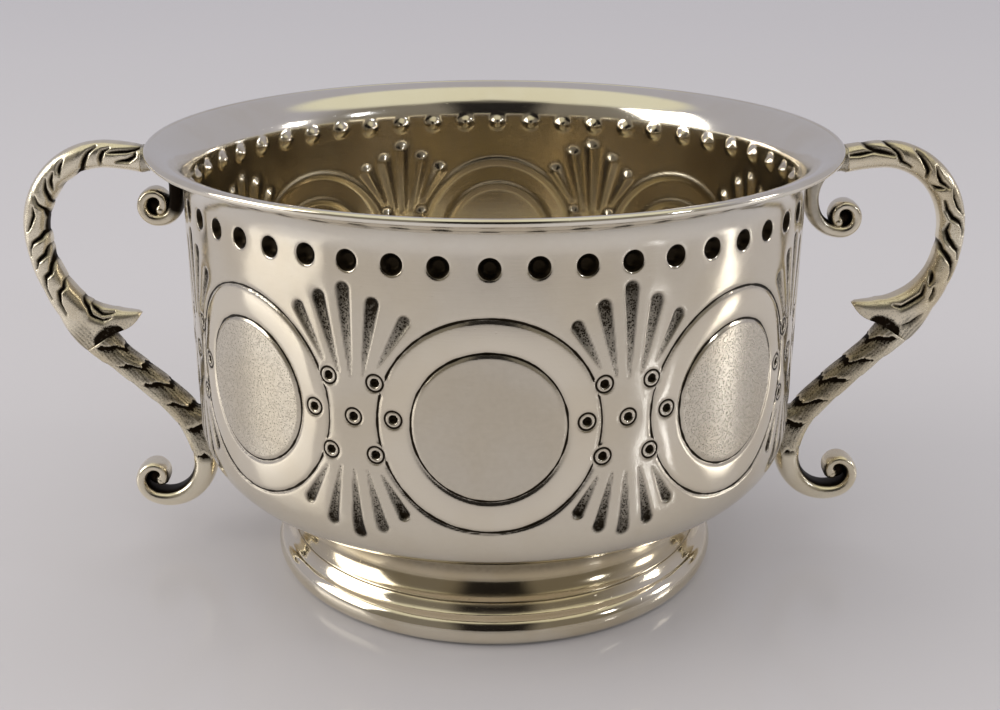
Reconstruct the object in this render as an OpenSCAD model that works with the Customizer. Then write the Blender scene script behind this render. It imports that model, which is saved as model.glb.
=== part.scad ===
// Two-handled silver caudle cup: a raised bowl with a flared lip, a collet foot
// with a half-round base wire, and a pair of cast scroll handles.
// Millimetres, +Z up, origin at the centre of the ring that the foot stands on.
// The handles lie in the XZ plane, one towards +X (right) and one towards -X (left).

/* [Bowl] */
// Height from the table to the top of the rim
cup_h = 65.7; // [60:0.1:80]
// Outside diameter of the straight wall
body_d = 90; // [80:0.5:94]
// Thickness of the silver sheet
wall_t = 0.9; // [0.6:0.1:1.4]
// Outside radius of the corner between wall and floor
corner_r = 9.6; // [7:0.1:13]
// Slope of the floor where it leaves the corner, in degrees
floor_slope = 14; // [9:0.5:19]

/* [Rim] */
// Distance that the rim stands out from the wall
lip_out = 5; // [3.5:0.1:8]
// Diameter of the wire that stiffens the edge of the lip
rim_wire_d = 1.1; // [1:0.05:1.6]
// Angle through which the lip flares out, in degrees
lip_sweep = 87; // [78:1:90]

/* [Chasing] */
// Turn of the chasing from square with the handles, in degrees
chasing_turn = -0.8; // [-3:0.1:3]
// Number of punched dimples under the lip
dimple_count = 48; // [24:8:64]
// Diameter of a punched dimple at the surface
dimple_d = 2.8; // [2:0.1:3.2]
// Depth of a punched dimple
dimple_depth = 0.45; // [0.2:0.05:0.5]
// Height of the row of dimples below the start of the lip
dimple_drop = 1.6; // [1.5:0.1:4]
// Number of roundels round the wall
roundel_count = 8; // [6:1:8]
// Height of the roundel centres above the table
roundel_h = 38; // [36:0.5:42]
// Diameter of the outer groove of a roundel
roundel_outer_d = 28.5; // [24:0.5:30]
// Diameter of the inner groove of a roundel
roundel_inner_d = 19.7; // [14:0.1:22]
// Width of a roundel groove
groove_w = 0.5; // [0.3:0.1:0.8]
// Depth of a roundel groove
groove_depth = 0.25; // [0.1:0.05:0.4]

/* [Foot] */
// Diameter over the base wire
foot_d = 68.9; // [64:0.1:76]
// Height of the bowl's underside where the collet meets it
foot_h = 13.9; // [12:0.1:18]
// Distance that the collet's waist stands in from its skirt
waist_in = 1.7; // [1.2:0.1:2.4]
// Thickness of the collet
collet_t = 1; // [0.7:0.1:1.4]
// Radius of the hollow moulding of the collet
cove_r = 4.7; // [4:0.1:6]
// Radius of the half-round base wire
base_wire_r = 2.4; // [2:0.1:2.8]
// Depth of the base wire behind the centre of its round
base_wire_back = 0.25; // [0.1:0.05:0.4]
// Depth worn flat under the base wire
base_flat = 0.1; // [0.05:0.05:0.2]
// Height of the plain band above the base wire
fillet_h = 1.3; // [0.8:0.1:1.8]
// Leg of the solder fillet between collet and bowl
solder_leg = 0.8; // [0.5:0.1:1.2]

/* [Handles] */
// Distance that each handle stands out from the rim
handle_out = 20.3; // [18:0.1:24]
// Thickness of the scroll arm in the plane of the handle
arm_t = 4; // [3.6:0.1:4.6]
// Width of the scroll arm across the plane of the handle
arm_w = 4.6; // [3.8:0.1:5.2]
// Gap between the arm's top and the underside of the rim wire
arm_gap = 0.6; // [0.3:0.1:1]
// Distance from the rim to the joint between volute and arm
arm_out = 1.6; // [1.2:0.1:2.2]
// Rise of the arm from its joint to its crown
arm_rise = 0.7; // [0.4:0.1:1.6]
// Width of the upper quarter of the scroll
bow_w = 11; // [9.5:0.1:12]
// Height of the upper quarter of the scroll
bow_h = 11.7; // [10.5:0.1:12.5]
// Length of the leaf spur
spur_len = 7.6; // [6.5:0.1:8.5]
// Slope of the seam between scroll and stem, in degrees
seam_slope = 34; // [30:0.5:38]
// Width of the stem at that seam
seam_w = 5.5; // [5:0.1:5.8]
// Thickness of the scaled stem in the plane of the handle
stem_t = 4.2; // [3.6:0.1:4.6]
// Depth of the stem's seat below the top of the bowl's corner
stem_seat_drop = 3.3; // [2.5:0.1:4]
// Distance from the wall to the middle of the stem at its seat
stem_seat_out = 3.5; // [3.2:0.1:4]
// Radius of the lower curl below its eye
curl_r = 3.5; // [3.2:0.1:3.8]
// Radius of the lower curl beside its eye
curl_end_r = 1.9; // [1.7:0.05:2.05]
// Radius of the volute below its eye
volute_r = 2.1; // [2:0.05:2.3]
// Radius of the volute beside its eye
volute_end_r = 1.95; // [1.8:0.05:2]
// Thickness of the volute's strip
strip_t = 2.3; // [1.9:0.1:2.5]

/* [Right handle] */
// Distance from the outermost middle line of the arm in to the spur's root
right_spur_in = 6.3; // [5.5:0.1:7.5]
// Height of the spur's tip
right_spur_h = 39.6; // [37:0.1:42]
// Distance from the wall to the eye of the lower curl
right_curl_out = 9.4; // [8.5:0.1:10.5]
// Height of the eye of the lower curl
right_curl_h = 12.1; // [10.5:0.1:13]
// Distance from the wall to the eye of the volute
right_volute_out = 6.8; // [4.9:0.1:7.5]
// Distance from the rim down to the eye of the volute
right_volute_drop = 12.4; // [10:0.1:13]

/* [Left handle] */
// Distance from the outermost middle line of the arm in to the spur's root
left_spur_in = 6.9; // [5.5:0.1:7.5]
// Height of the spur's tip
left_spur_h = 38; // [37:0.1:42]
// Distance from the wall to the eye of the lower curl
left_curl_out = 8.8; // [8.5:0.1:10.5]
// Height of the eye of the lower curl
left_curl_h = 10.9; // [10.5:0.1:13]
// Distance from the wall to the eye of the volute
left_volute_out = 5.1; // [4.9:0.1:7.5]
// Distance from the rim down to the eye of the volute
left_volute_drop = 10.6; // [10:0.1:13]

/* [Hidden] */
$fn = 96;

// Fits
seat_gap = 0.02;

// Bowl and lip, worked out from the sizes above
body_r = body_d / 2;
rim_r = body_r + lip_out;
rim_wire_r = rim_wire_d / 2;
lip_r = (lip_out - rim_wire_r) / (1 - cos(lip_sweep));
lip_mid_r = lip_r + wall_t / 2;
lip_z = cup_h - rim_wire_r - lip_mid_r * sin(lip_sweep);
rim_wire_z = cup_h - rim_wire_r;
rim_wire_low = rim_wire_z - rim_wire_r;
arc_steps = 10;

// Floor: a shallow dish that meets the corner tangentially and sits on the collet
base_wire_c = foot_d / 2 - base_wire_r;
skirt_r = base_wire_c - base_wire_back;
collet_r = skirt_r - waist_in;
floor_edge_r = body_r - corner_r + corner_r * sin(floor_slope);
floor_r = floor_edge_r / sin(floor_slope);
floor_centre_z = foot_h + sqrt(floor_r ^ 2 - collet_r ^ 2);
corner_z = floor_centre_z - (floor_r - corner_r) * cos(floor_slope);
corner_in = body_r - corner_r;

// Foot
base_wire_z = base_wire_r - base_flat;
fillet_top = base_wire_z + base_wire_r + fillet_h;
cove_end = acos(1 - waist_in / cove_r);
cove_z = fillet_top + cove_r * sin(cove_end);

// Handles
arm_start = [rim_r + arm_out, rim_wire_low - arm_gap - arm_t / 2];
arm_reach = rim_r + handle_out - arm_t / 2;
arm_crown = [arm_reach - bow_w, arm_start.y + arm_rise];
arm_side = [arm_reach, arm_crown.y - bow_h];
quarter = 4 / 3 * (sqrt(2) - 1);
ring_count = 14;
seg_steps = 12;
curl_steps = 26;
curl_angle = 370;
turn_in = 0.5;
close_from = 0.34;
close_by = 0.7;

function arc(c, r, a0, a1, n = arc_steps) =
    [for (i = [0:n]) let (a = a0 + (a1 - a0) * i / n) [c.x + r * cos(a), c.y + r * sin(a)]];

// Underside of the bowl's floor and of its lip at a distance r from the axis
function floor_under(r) = floor_centre_z - sqrt(floor_r ^ 2 - r ^ 2);
function lip_under(r) =
    let (reach = max(0, lip_r ^ 2 - max(0, body_r + lip_r - r) ^ 2))
    min(lip_z + sqrt(reach), rim_wire_low);

// Outside radius of the bowl's wall and corner at the height z
function wall_r(z) =
    z >= corner_z ? body_r : corner_in + sqrt(max(0, corner_r ^ 2 - (corner_z - z) ^ 2));

function bezier(p, t) =
    (1 - t) ^ 3 * p[0] + 3 * t * (1 - t) ^ 2 * p[1] + 3 * t ^ 2 * (1 - t) * p[2] + t ^ 3 * p[3];

// A run of curves as [place, x, z], where place counts curves from the start
function run(curves, n = seg_steps) = [
    for (k = [0:len(curves) - 1]) for (i = [k == 0 ? 0 : 1:n])
        let (p = bezier(curves[k], i / n)) [k + i / n, p.x, p.y]
];

// A curl that starts at a distance r0 right below its eye, turns in quickly to the
// distance r1 beside it, and closes on the eye in its second half
function curl(eye, r0, r1, place) = [
    for (i = [1:curl_steps])
        let (
            t = i / curl_steps,
            a = 270 + curl_angle * t,
            open = max(0, 1 - t / turn_in),
            shut = max(0, (t - close_from) / (1 - close_from)),
            r = r1 * (1 - close_by * shut ^ 2 * (3 - 2 * shut)) + (r0 - r1) * open ^ 2
        )
        [place + t, eye.x + r * cos(a), eye.y + r * sin(a)]
];

function unit(v) = v / norm(v);
function flat(p) = [p[1], p[2]];

// Direction of a path at point i, and the side that lies on its left
function heading(path, i) =
    unit(flat(path[min(i + 1, len(path) - 1)]) - flat(path[max(i - 1, 0)]));
function left_of(v) = [-v.y, v.x];

// A bar swept along a path in the XZ plane. Its thickness to the left and to the
// right of the path and its half width are tables over the place along the path.
// fit moves a point that would enter what the bar is fitted to.
module bar(path, start_dir, left_t, right_t, half_w, fit) {
    n = len(path);
    m = ring_count;
    points = [
        for (i = [0:n - 1])
            let (
                s = path[i][0],
                side = left_of(i == 0 ? start_dir : heading(path, i)),
                l = lookup(s, left_t),
                r = lookup(s, right_t),
                w = lookup(s, half_w)
            )
            for (k = [0:m - 1])
                let (
                    c = cos(360 * k / m),
                    q = flat(path[i]) + side * (c > 0 ? c * l : c * r)
                )
                fit([q.x, w * sin(360 * k / m), q.y])
    ];
    sides = [
        for (i = [0:n - 2]) for (k = [0:m - 1])
            let (a = i * m + k, b = i * m + (k + 1) % m)
            each [[a, b, a + m], [b, b + m, a + m]]
    ];
    first_end = [for (k = [m - 1:-1:0]) k];
    last_end = [for (k = [0:m - 1]) (n - 1) * m + k];
    polyhedron(points, concat(sides, [first_end, last_end]));
}

// Bodies of revolution
module bowl_section() {
    outside = concat(
        arc([0, floor_centre_z], floor_r, -90, floor_slope - 90),
        arc([corner_in, corner_z], corner_r, floor_slope - 90, 0),
        arc([body_r + lip_r, lip_z], lip_r, 180, 180 - lip_sweep)
    );
    inside = concat(
        arc([body_r + lip_r, lip_z], lip_r + wall_t, 180 - lip_sweep, 180),
        arc([corner_in, corner_z], corner_r - wall_t, 0, floor_slope - 90),
        arc([0, floor_centre_z], floor_r - wall_t, floor_slope - 90, -90)
    );
    difference() {
        polygon(concat(outside, inside));
        translate([rim_r - rim_wire_r, rim_wire_z]) circle(r = rim_wire_r + seat_gap);
    }
}

// Punches: a ball for each dimple and a thin tube for each groove of a roundel
module dimple_punch() {
    ball_r = (dimple_d ^ 2 / 4 + dimple_depth ^ 2) / (2 * dimple_depth);
    translate([body_r + ball_r - dimple_depth, 0, lip_z - dimple_drop]) sphere(r = ball_r);
}

module groove_punch(d) {
    translate([0, 0, roundel_h]) rotate([0, 90, 0]) difference() {
        cylinder(h = rim_r, d = d + groove_w);
        cylinder(h = 3 * rim_r, d = d - groove_w, center = true);
    }
}

module bowl() {
    color("silver") rotate([0, 0, chasing_turn]) difference() {
        rotate_extrude() bowl_section();
        for (i = [0:dimple_count - 1]) rotate([0, 0, 360 * i / dimple_count - 90]) dimple_punch();
        difference() {
            for (i = [0:roundel_count - 1]) rotate([0, 0, 360 * i / roundel_count - 90]) {
                groove_punch(roundel_outer_d);
                groove_punch(roundel_inner_d);
            }
            cylinder(h = 3 * cup_h, r = body_r - groove_depth, center = true);
        }
    }
}

module rim_wire() {
    color("gainsboro") rotate_extrude()
        translate([rim_r - rim_wire_r, rim_wire_z]) circle(r = rim_wire_r);
}

module foot_collet() {
    cove_c = [collet_r + cove_r, cove_z];
    outside = concat([[skirt_r, 0]], arc(cove_c, cove_r, 180 + cove_end, 180));
    inside = concat(arc(cove_c, cove_r + collet_t, 180, 180 + cove_end), [[skirt_r - collet_t, 0]]);
    top = [
        [collet_r, floor_under(collet_r) - seat_gap],
        [collet_r - collet_t, floor_under(collet_r - collet_t) - seat_gap]
    ];
    color("lightgray") rotate_extrude() polygon(concat(outside, top, inside));
}

module base_wire() {
    color("whitesmoke") rotate_extrude() intersection() {
        translate([base_wire_c, base_wire_z]) circle(r = base_wire_r);
        translate([skirt_r, 0]) square(2 * base_wire_r);
    }
}

module foot_solder() {
    low = foot_h - solder_leg;
    far = collet_r + solder_leg;
    fillet = arc([far, low], solder_leg, 180, 90, 5);
    top = [[far, floor_under(far) - seat_gap], [collet_r, foot_h - seat_gap]];
    color("darkgray") rotate_extrude() polygon(concat(fillet, top));
}

// Handles. The tip of the spur, the eye of the curl and the eye of the volute are
// given for each side, because the two castings differ a little.
seam_dir = [cos(seam_slope), -sin(seam_slope)];
function spur_root(tip) = tip + [spur_len, 0];
function seam_root(tip) = spur_root(tip) - [0.42 * spur_len, 0.69 * arm_t];

// Keeps a point of the scroll above its seam with the stem
function above_seam(p, tip) =
    let (
        up = left_of(seam_dir),
        depth = up * ([p.x, p.z] - seam_root(tip))
    )
    depth >= 0 ? p : [p.x - depth * up.x, p.y, p.z - depth * up.y];

// Keeps a point off the outside of the bowl
function off_wall(p) =
    let (r = wall_r(p.z) + seat_gap)
    [max(p.x, sqrt(max(0, r ^ 2 - p.y ^ 2))), p.y, p.z];

// Keeps a point off the wall and under the lip
function under_lip(p) =
    let (
        q = off_wall(p),
        r = norm([q.x, q.y])
    )
    r > rim_r + arm_out / 2 ? q : [q.x, q.y, min(q.z, lip_under(r) - seat_gap)];

// The C-scroll from its joint under the rim round to the tip of its leaf spur
module scroll(tip) {
    root = spur_root(tip);
    path = run([
        [arm_start, arm_start + [arm_out, arm_rise / 2], arm_crown - [arm_out, 0], arm_crown],
        [arm_crown, arm_crown + [quarter * bow_w, 0], arm_side + [0, quarter * bow_h], arm_side],
        [arm_side, arm_side - [0, bow_h / 2], root + spur_len * [0.53, 0.25], root],
        [root, root - spur_len * [0.34, 0.16], tip + spur_len * [0.34, -0.12], tip]
    ]);
    t = arm_t / 2;
    w = arm_w / 2;
    point = arm_t / 16;
    heel_t = [[2.5, t * 1.15], [2.75, t * 1.6], [3, t * 2.8], [3.15, t * 3.2], [3.4, t * 2.5], [3.7, t]];
    bar(path, [1, 0],
        left_t = concat([[0, t], [2.2, t]], heel_t, [[4, point]]),
        right_t = [[0, t], [3, t], [3.5, t * 0.92], [3.8, t * 0.5], [4, point]],
        half_w = [[0, w], [3, w], [3.5, w * 0.84], [3.8, w * 0.52], [4, point]],
        fit = function (p) above_seam(p, tip));
}

// The scaled stem from the seam past its seat on the wall to the lower curl
module stem(tip, eye) {
    start = seam_root(tip) + seam_dir * seam_w / 2;
    away = -left_of(seam_dir);
    seat = [body_r + stem_seat_out, corner_z - stem_seat_drop];
    knee = eye + curl_r * [-2.286, 0.843];
    low = eye - [0, curl_r];
    path = concat(
        run([
            [start, start + away * stem_t * 0.7, seat + stem_t * [0.45, 0.76], seat],
            [seat, seat - stem_t * [0.24, 0.4], knee + [0, curl_r * 0.743], knee],
            [knee, knee - [0, curl_r * 1.2], low - curl_r * [1.15, 0.33], low]
        ]),
        curl(eye, curl_r, curl_end_r, 3)
    );
    e = seam_w / 2;
    t = stem_t / 2;
    s = strip_t / 2;
    curl_t = [[3, s * 0.9], [3.25, s * 0.62], [3.6, s * 0.62], [4, s * 0.42]];
    seat_t = [[1, t * 1.1], [1.25, t * 2], [1.5, t * 1.8], [2, t * 0.9]];
    bar(path, away,
        left_t = concat([[0, e], [0.3, t], [2, t * 0.95]], curl_t),
        right_t = concat([[0, e], [0.3, t]], seat_t, curl_t),
        half_w = [[0, arm_w / 2], [3, arm_w / 2], [4, arm_w * 0.4]],
        fit = function (p) off_wall(p));
}

// The volute from the arm's joint along the lip's underside to its eye
module volute(eye) {
    neck = [body_r + 0.9 * strip_t, eye.y + volute_r * 1.55];
    low = eye - [0, volute_r];
    path = concat(
        run([
            [arm_start, arm_start - [arm_out * 1.5, 0], neck + [0, volute_r * 1.49], neck],
            [neck, neck - [0, volute_r * 1.58], low - [volute_r * 1.29, 0], low]
        ]),
        curl(eye, volute_r, volute_end_r, 2)
    );
    a = arm_t / 2;
    s = strip_t / 2;
    lip_t = [[0.12, a], [0.3, a * 2], [0.6, a * 1.3], [1, s * 1.1]];
    curl_t = [[2, s * 0.68], [2.25, s * 0.62], [2.6, s * 0.52], [3, s * 0.4]];
    bar(path, [-1, 0],
        left_t = concat([[0, a], [0.5, s], [1, s * 0.8]], curl_t),
        right_t = concat([[0, a]], lip_t, curl_t),
        half_w = [[0, arm_w / 2], [1, arm_w * 0.46], [3, arm_w * 0.4]],
        fit = function (p) under_lip(p));
}

right_tip = [arm_reach - right_spur_in - spur_len, right_spur_h];
right_curl_eye = [body_r + right_curl_out, right_curl_h];
right_volute_eye = [body_r + right_volute_out, cup_h - right_volute_drop];
left_tip = [arm_reach - left_spur_in - spur_len, left_spur_h];
left_curl_eye = [body_r + left_curl_out, left_curl_h];
left_volute_eye = [body_r + left_volute_out, cup_h - left_volute_drop];

module right_scroll() { color("lightsteelblue") scroll(right_tip); }
module right_stem() { color("slategray") stem(right_tip, right_curl_eye); }
module right_volute() { color("silver") volute(right_volute_eye); }
module left_scroll() { color("lightsteelblue") mirror([1, 0, 0]) scroll(left_tip); }
module left_stem() { color("slategray") mirror([1, 0, 0]) stem(left_tip, left_curl_eye); }
module left_volute() { color("silver") mirror([1, 0, 0]) volute(left_volute_eye); }

bowl();
rim_wire();
foot_collet();
base_wire();
foot_solder();
right_scroll();
right_stem();
right_volute();
left_scroll();
left_stem();
left_volute();
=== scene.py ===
"""Looks of a two-handled silver caudle cup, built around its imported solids.

Lengths are millimetres until a mesh is made. +Z is up, +X runs towards the right
handle and -Y towards the viewer.
"""

import logging
import math
from dataclasses import dataclass, field
from enum import Enum
from typing import Callable, Sequence

import bpy
import numpy as np
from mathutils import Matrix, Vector


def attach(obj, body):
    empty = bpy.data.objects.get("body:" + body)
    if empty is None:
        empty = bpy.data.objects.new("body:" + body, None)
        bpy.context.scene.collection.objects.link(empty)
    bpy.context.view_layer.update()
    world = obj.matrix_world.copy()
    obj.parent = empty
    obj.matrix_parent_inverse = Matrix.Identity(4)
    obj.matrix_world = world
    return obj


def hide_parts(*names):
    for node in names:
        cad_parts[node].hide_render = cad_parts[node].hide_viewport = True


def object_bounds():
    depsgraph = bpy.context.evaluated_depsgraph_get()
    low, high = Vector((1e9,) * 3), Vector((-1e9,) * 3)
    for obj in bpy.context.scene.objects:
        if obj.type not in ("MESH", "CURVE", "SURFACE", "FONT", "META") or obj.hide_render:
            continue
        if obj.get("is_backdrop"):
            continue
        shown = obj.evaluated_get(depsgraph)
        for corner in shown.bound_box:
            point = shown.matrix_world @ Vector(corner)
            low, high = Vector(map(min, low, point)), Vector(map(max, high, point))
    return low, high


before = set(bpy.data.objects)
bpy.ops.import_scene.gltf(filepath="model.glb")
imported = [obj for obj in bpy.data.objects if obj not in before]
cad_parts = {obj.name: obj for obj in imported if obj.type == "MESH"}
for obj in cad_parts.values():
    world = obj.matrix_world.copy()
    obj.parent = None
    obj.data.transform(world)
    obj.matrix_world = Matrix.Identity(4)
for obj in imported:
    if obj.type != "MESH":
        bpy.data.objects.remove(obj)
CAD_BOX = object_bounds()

LOG = logging.getLogger("caudle_cup")
MM = 0.001
SEED = 1690
# Radius of the rim and height of the cup, taken from the frame
RIM_R = round(CAD_BOX[1][1] / MM, 1)
CUP_H = round(CAD_BOX[1][2] / MM, 1)
BALL_ROWS, BALL_COLS = 14, 24
PUNCH_SCALE = 3800.0
Array = np.ndarray
Colour = tuple[float, float, float]
Table = Sequence[tuple[float, float]]
Box = tuple[float, float, float, float]
Layers = dict[str, "Array | float"]
# What each point carries, with its usual value: darkness, which is partly dirt and partly painted shade,
# matting, yellowing, and the distances from the nearest chased line, punched ring and punched hollow,
# along which shade is painted dark
LAYERS = {"soot": 0.0, "mat": 0.0, "tarnish": 0.0, "line": 1.0, "ring": 1.0, "hollow": 1.0}


class Side(Enum):
    """The side of the cup that a handle is on; the value is its sign along X."""

    RIGHT = 1
    LEFT = -1


def ease(low: float | Array, high: float | Array, x: Array) -> Array:
    """Rises smoothly from 0 at low to 1 at high.

    Args:
        low: Where the rise starts.
        high: Where the rise ends.
        x: The places asked for.

    Returns:
        The height of the rise at each place.
    """
    t = np.clip((x - low) / (high - low), 0.0, 1.0)
    return t * t * (3.0 - 2.0 * t)


def bell(x: Array, width: float | Array) -> Array:
    """Gives a bell curve of the given half width."""
    return np.exp(-((x / width) ** 2))


def arc(centre: tuple[float, float], radius: float, start: float, end: float, count: int) -> Array:
    """Gives points on an arc.

    Args:
        centre: Centre of the arc.
        radius: Radius of the arc.
        start: First angle in degrees.
        end: Last angle in degrees.
        count: Number of points.

    Returns:
        An array of count points.
    """
    angle = np.radians(np.linspace(start, end, count))
    return np.stack([centre[0] + radius * np.cos(angle), centre[1] + radius * np.sin(angle)], axis=-1)


def bezier(a: Array, b: Array, c: Array, d: Array, t: Array) -> Array:
    """Gives points on a cubic curve.

    Args:
        a: Start of the curve.
        b: First handle.
        c: Second handle.
        d: End of the curve.
        t: Places along it, from 0 to 1.

    Returns:
        A point for each place.
    """
    return (1 - t) ** 3 * a + 3 * t * (1 - t) ** 2 * b + 3 * t**2 * (1 - t) * c + t**3 * d


def vec(x: float, z: float) -> Array:
    """Gives a point or a direction in the plane of a handle."""
    return np.array([x, z])


class MeshMaker:
    """Gathers lattices of points and turns them into one smooth object."""

    def __init__(self) -> None:
        """Starts with nothing gathered."""
        self.points: list[Array] = []
        self.layers: dict[str, list[Array]] = {key: [] for key in LAYERS}
        self.faces: list[Array] = []
        self.corners: list[Array] = []
        self.count = 0

    def _keep(self, points: Array, layers: Layers) -> Array:
        """Keeps points and gives their indices.

        Args:
            points: The points.
            layers: Darkness, partly painted shade, and other layers of the points.

        Returns:
            The indices of the points.
        """
        index = self.count + np.arange(len(points))
        self.points.append(points)
        for key, usual in LAYERS.items():
            self.layers[key].append(np.broadcast_to(layers.get(key, usual), len(points)))
        self.count += len(points)
        return index

    def lattice(self, points: Array, layers: Layers, box: Box, closed: bool = False) -> Array:
        """Adds a lattice whose columns close on themselves.

        Args:
            points: Points by row and column.
            layers: Darkness, partly painted shade, and other layers by row and column.
            box: Part of the unwrapped sheet that the lattice takes.
            closed: Whether the last row joins the first.

        Returns:
            The indices of the points by row and column.
        """
        rows, cols = points.shape[:2]
        spread = {key: np.broadcast_to(value, (rows, cols)).ravel() for key, value in layers.items()}
        index = self._keep(points.reshape(-1, 3), spread).reshape(rows, cols)
        run = np.vstack([index, index[:1]]) if closed else index
        ahead = np.roll(run, -1, axis=1)
        self.faces.append(np.stack([run[:-1], ahead[:-1], ahead[1:], run[1:]], axis=-1).reshape(-1, 4))
        u = np.linspace(box[0], box[2], cols + 1)
        v = np.linspace(box[1], box[3], len(run))
        left, low = np.meshgrid(u[:-1], v[:-1])
        right, high = np.meshgrid(u[1:], v[1:])
        uv = np.stack([left, low, right, low, right, high, left, high], axis=-1)
        self.corners.append(uv.reshape(-1, 4, 2))
        return index

    def cap(self, ring: Array, centre: Array, layers: Layers, box: Box, last: bool) -> None:
        """Closes a ring with a fan.

        Args:
            ring: Indices of the ring's points.
            centre: Middle of the fan.
            layers: Darkness, partly painted shade, and other layers at the middle.
            box: Part of the unwrapped sheet that the fan takes.
            last: Whether the ring is the last row of its lattice.
        """
        middle = self._keep(np.asarray(centre, float)[None], layers)[0]
        ahead = np.roll(ring, -1)
        pair = (ring, ahead) if last else (ahead, ring)
        self.faces.append(np.stack([*pair, np.full(len(ring), middle)], axis=-1))
        angle = 2 * np.pi * np.arange(len(ring) + 1) / len(ring)
        mid_u, mid_v = (box[0] + box[2]) / 2, (box[1] + box[3]) / 2
        rim_u = mid_u + np.cos(angle) * (box[2] - mid_u)
        rim_v = mid_v + np.sin(angle) * (box[3] - mid_v)
        rim = np.stack([rim_u, rim_v], axis=-1)
        first, second = (rim[:-1], rim[1:]) if last else (rim[1:], rim[:-1])
        self.corners.append(np.stack([first, second, np.tile([mid_u, mid_v], (len(ring), 1))], axis=1))

    def bridge(self, fine: Array, coarse: Array, box: Box) -> None:
        """Joins a ring to a ring with half as many points.

        Args:
            fine: Indices of the finer ring.
            coarse: Indices of the coarser ring.
            box: Part of the unwrapped sheet that the strip takes.
        """
        a, b, c = fine[0::2], fine[1::2], np.roll(fine, -2)[0::2]
        k, k1 = coarse, np.roll(coarse, -1)
        n = len(coarse)
        u = np.linspace(box[0], box[2], 2 * n + 1)
        low, high = np.full(n, box[1]), np.full(n, box[3])
        u0, u1, u2 = u[0:-1:2], u[1::2], u[2::2]
        for tri, uv in (
            ((a, b, k), (u0, low, u1, low, u0, high)),
            ((b, k1, k), (u1, low, u2, high, u0, high)),
            ((b, c, k1), (u1, low, u2, low, u2, high)),
        ):
            self.faces.append(np.stack(tri, axis=-1))
            self.corners.append(np.stack(uv, axis=-1).reshape(-1, 3, 2))

    def ball(self, centre: Array, radii: Sequence[float], soot: float, box: Box) -> None:
        """Adds a small ball, round or flattened.

        Args:
            centre: Centre of the ball.
            radii: Its radii along X, Y and Z.
            soot: Darkness of its surface; a black ball stands for painted shade.
            box: Part of the unwrapped sheet that the ball takes.
        """
        tilt = np.linspace(-np.pi / 2, np.pi / 2, BALL_ROWS + 2)[1:-1, None]
        turn = 2 * np.pi * np.arange(BALL_COLS)[None] / BALL_COLS
        level = np.cos(tilt)
        shape = np.stack([level * np.cos(turn), level * np.sin(turn), np.sin(tilt) + 0 * turn], axis=-1)
        points = centre + np.asarray(radii) * shape
        top = np.array([0, 0, radii[2]])
        layers = {"soot": soot}
        wide = (box[2] - box[0]) / 8
        middle, half = box[2] - wide, (box[1] + box[3]) / 2
        index = self.lattice(points, layers, (box[0], box[1], box[2] - 2 * wide, box[3]))
        self.cap(index[0], centre - top, layers, (middle, box[1], box[2], half), last=False)
        self.cap(index[-1], centre + top, layers, (middle, half, box[2], box[3]), last=True)

    def build(self, name: str) -> bpy.types.Object:
        """Makes the object, with its faces turned outwards.

        Args:
            name: Name of the object.

        Returns:
            The new object, linked to the scene.
        """
        points = np.concatenate(self.points) * MM
        inside_out = self._volume(points) < 0
        loops, starts, uvs, at = [], [], [], 0
        for faces, corners in zip(self.faces, self.corners):
            if inside_out:
                faces, corners = faces[:, ::-1], corners[:, ::-1]
            loops.append(faces.ravel())
            uvs.append(corners.reshape(-1, 2))
            starts.append(at + faces.shape[1] * np.arange(len(faces)))
            at += faces.size
        mesh = bpy.data.meshes.new(name)
        mesh.vertices.add(len(points))
        mesh.vertices.foreach_set("co", points.astype(np.float32).ravel())
        mesh.loops.add(at)
        mesh.loops.foreach_set("vertex_index", np.concatenate(loops).astype(np.int32))
        start = np.concatenate(starts).astype(np.int32)
        mesh.polygons.add(len(start))
        mesh.polygons.foreach_set("loop_start", start)
        mesh.update(calc_edges=True)
        sheet = mesh.uv_layers.new(name="OFBake", do_init=False)
        sheet.uv.foreach_set("vector", np.concatenate(uvs).astype(np.float32).ravel())
        for key, parts in self.layers.items():
            layer = mesh.attributes.new(key, "FLOAT", "POINT")
            layer.data.foreach_set("value", np.concatenate(parts).astype(np.float32))
        mesh.shade_smooth()
        piece = bpy.data.objects.new(name, mesh)
        bpy.context.scene.collection.objects.link(piece)
        return piece

    def _volume(self, points: Array) -> float:
        """Gives the signed volume inside the faces.

        Args:
            points: All the points.

        Returns:
            The volume, negative if inside out.
        """
        total = 0.0
        for faces in self.faces:
            p = points[faces]
            for k in range(1, faces.shape[1] - 1):
                total += np.einsum("ij,ij->", p[:, 0], np.cross(p[:, k], p[:, k + 1]))
        return total / 6


# Finishes


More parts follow.
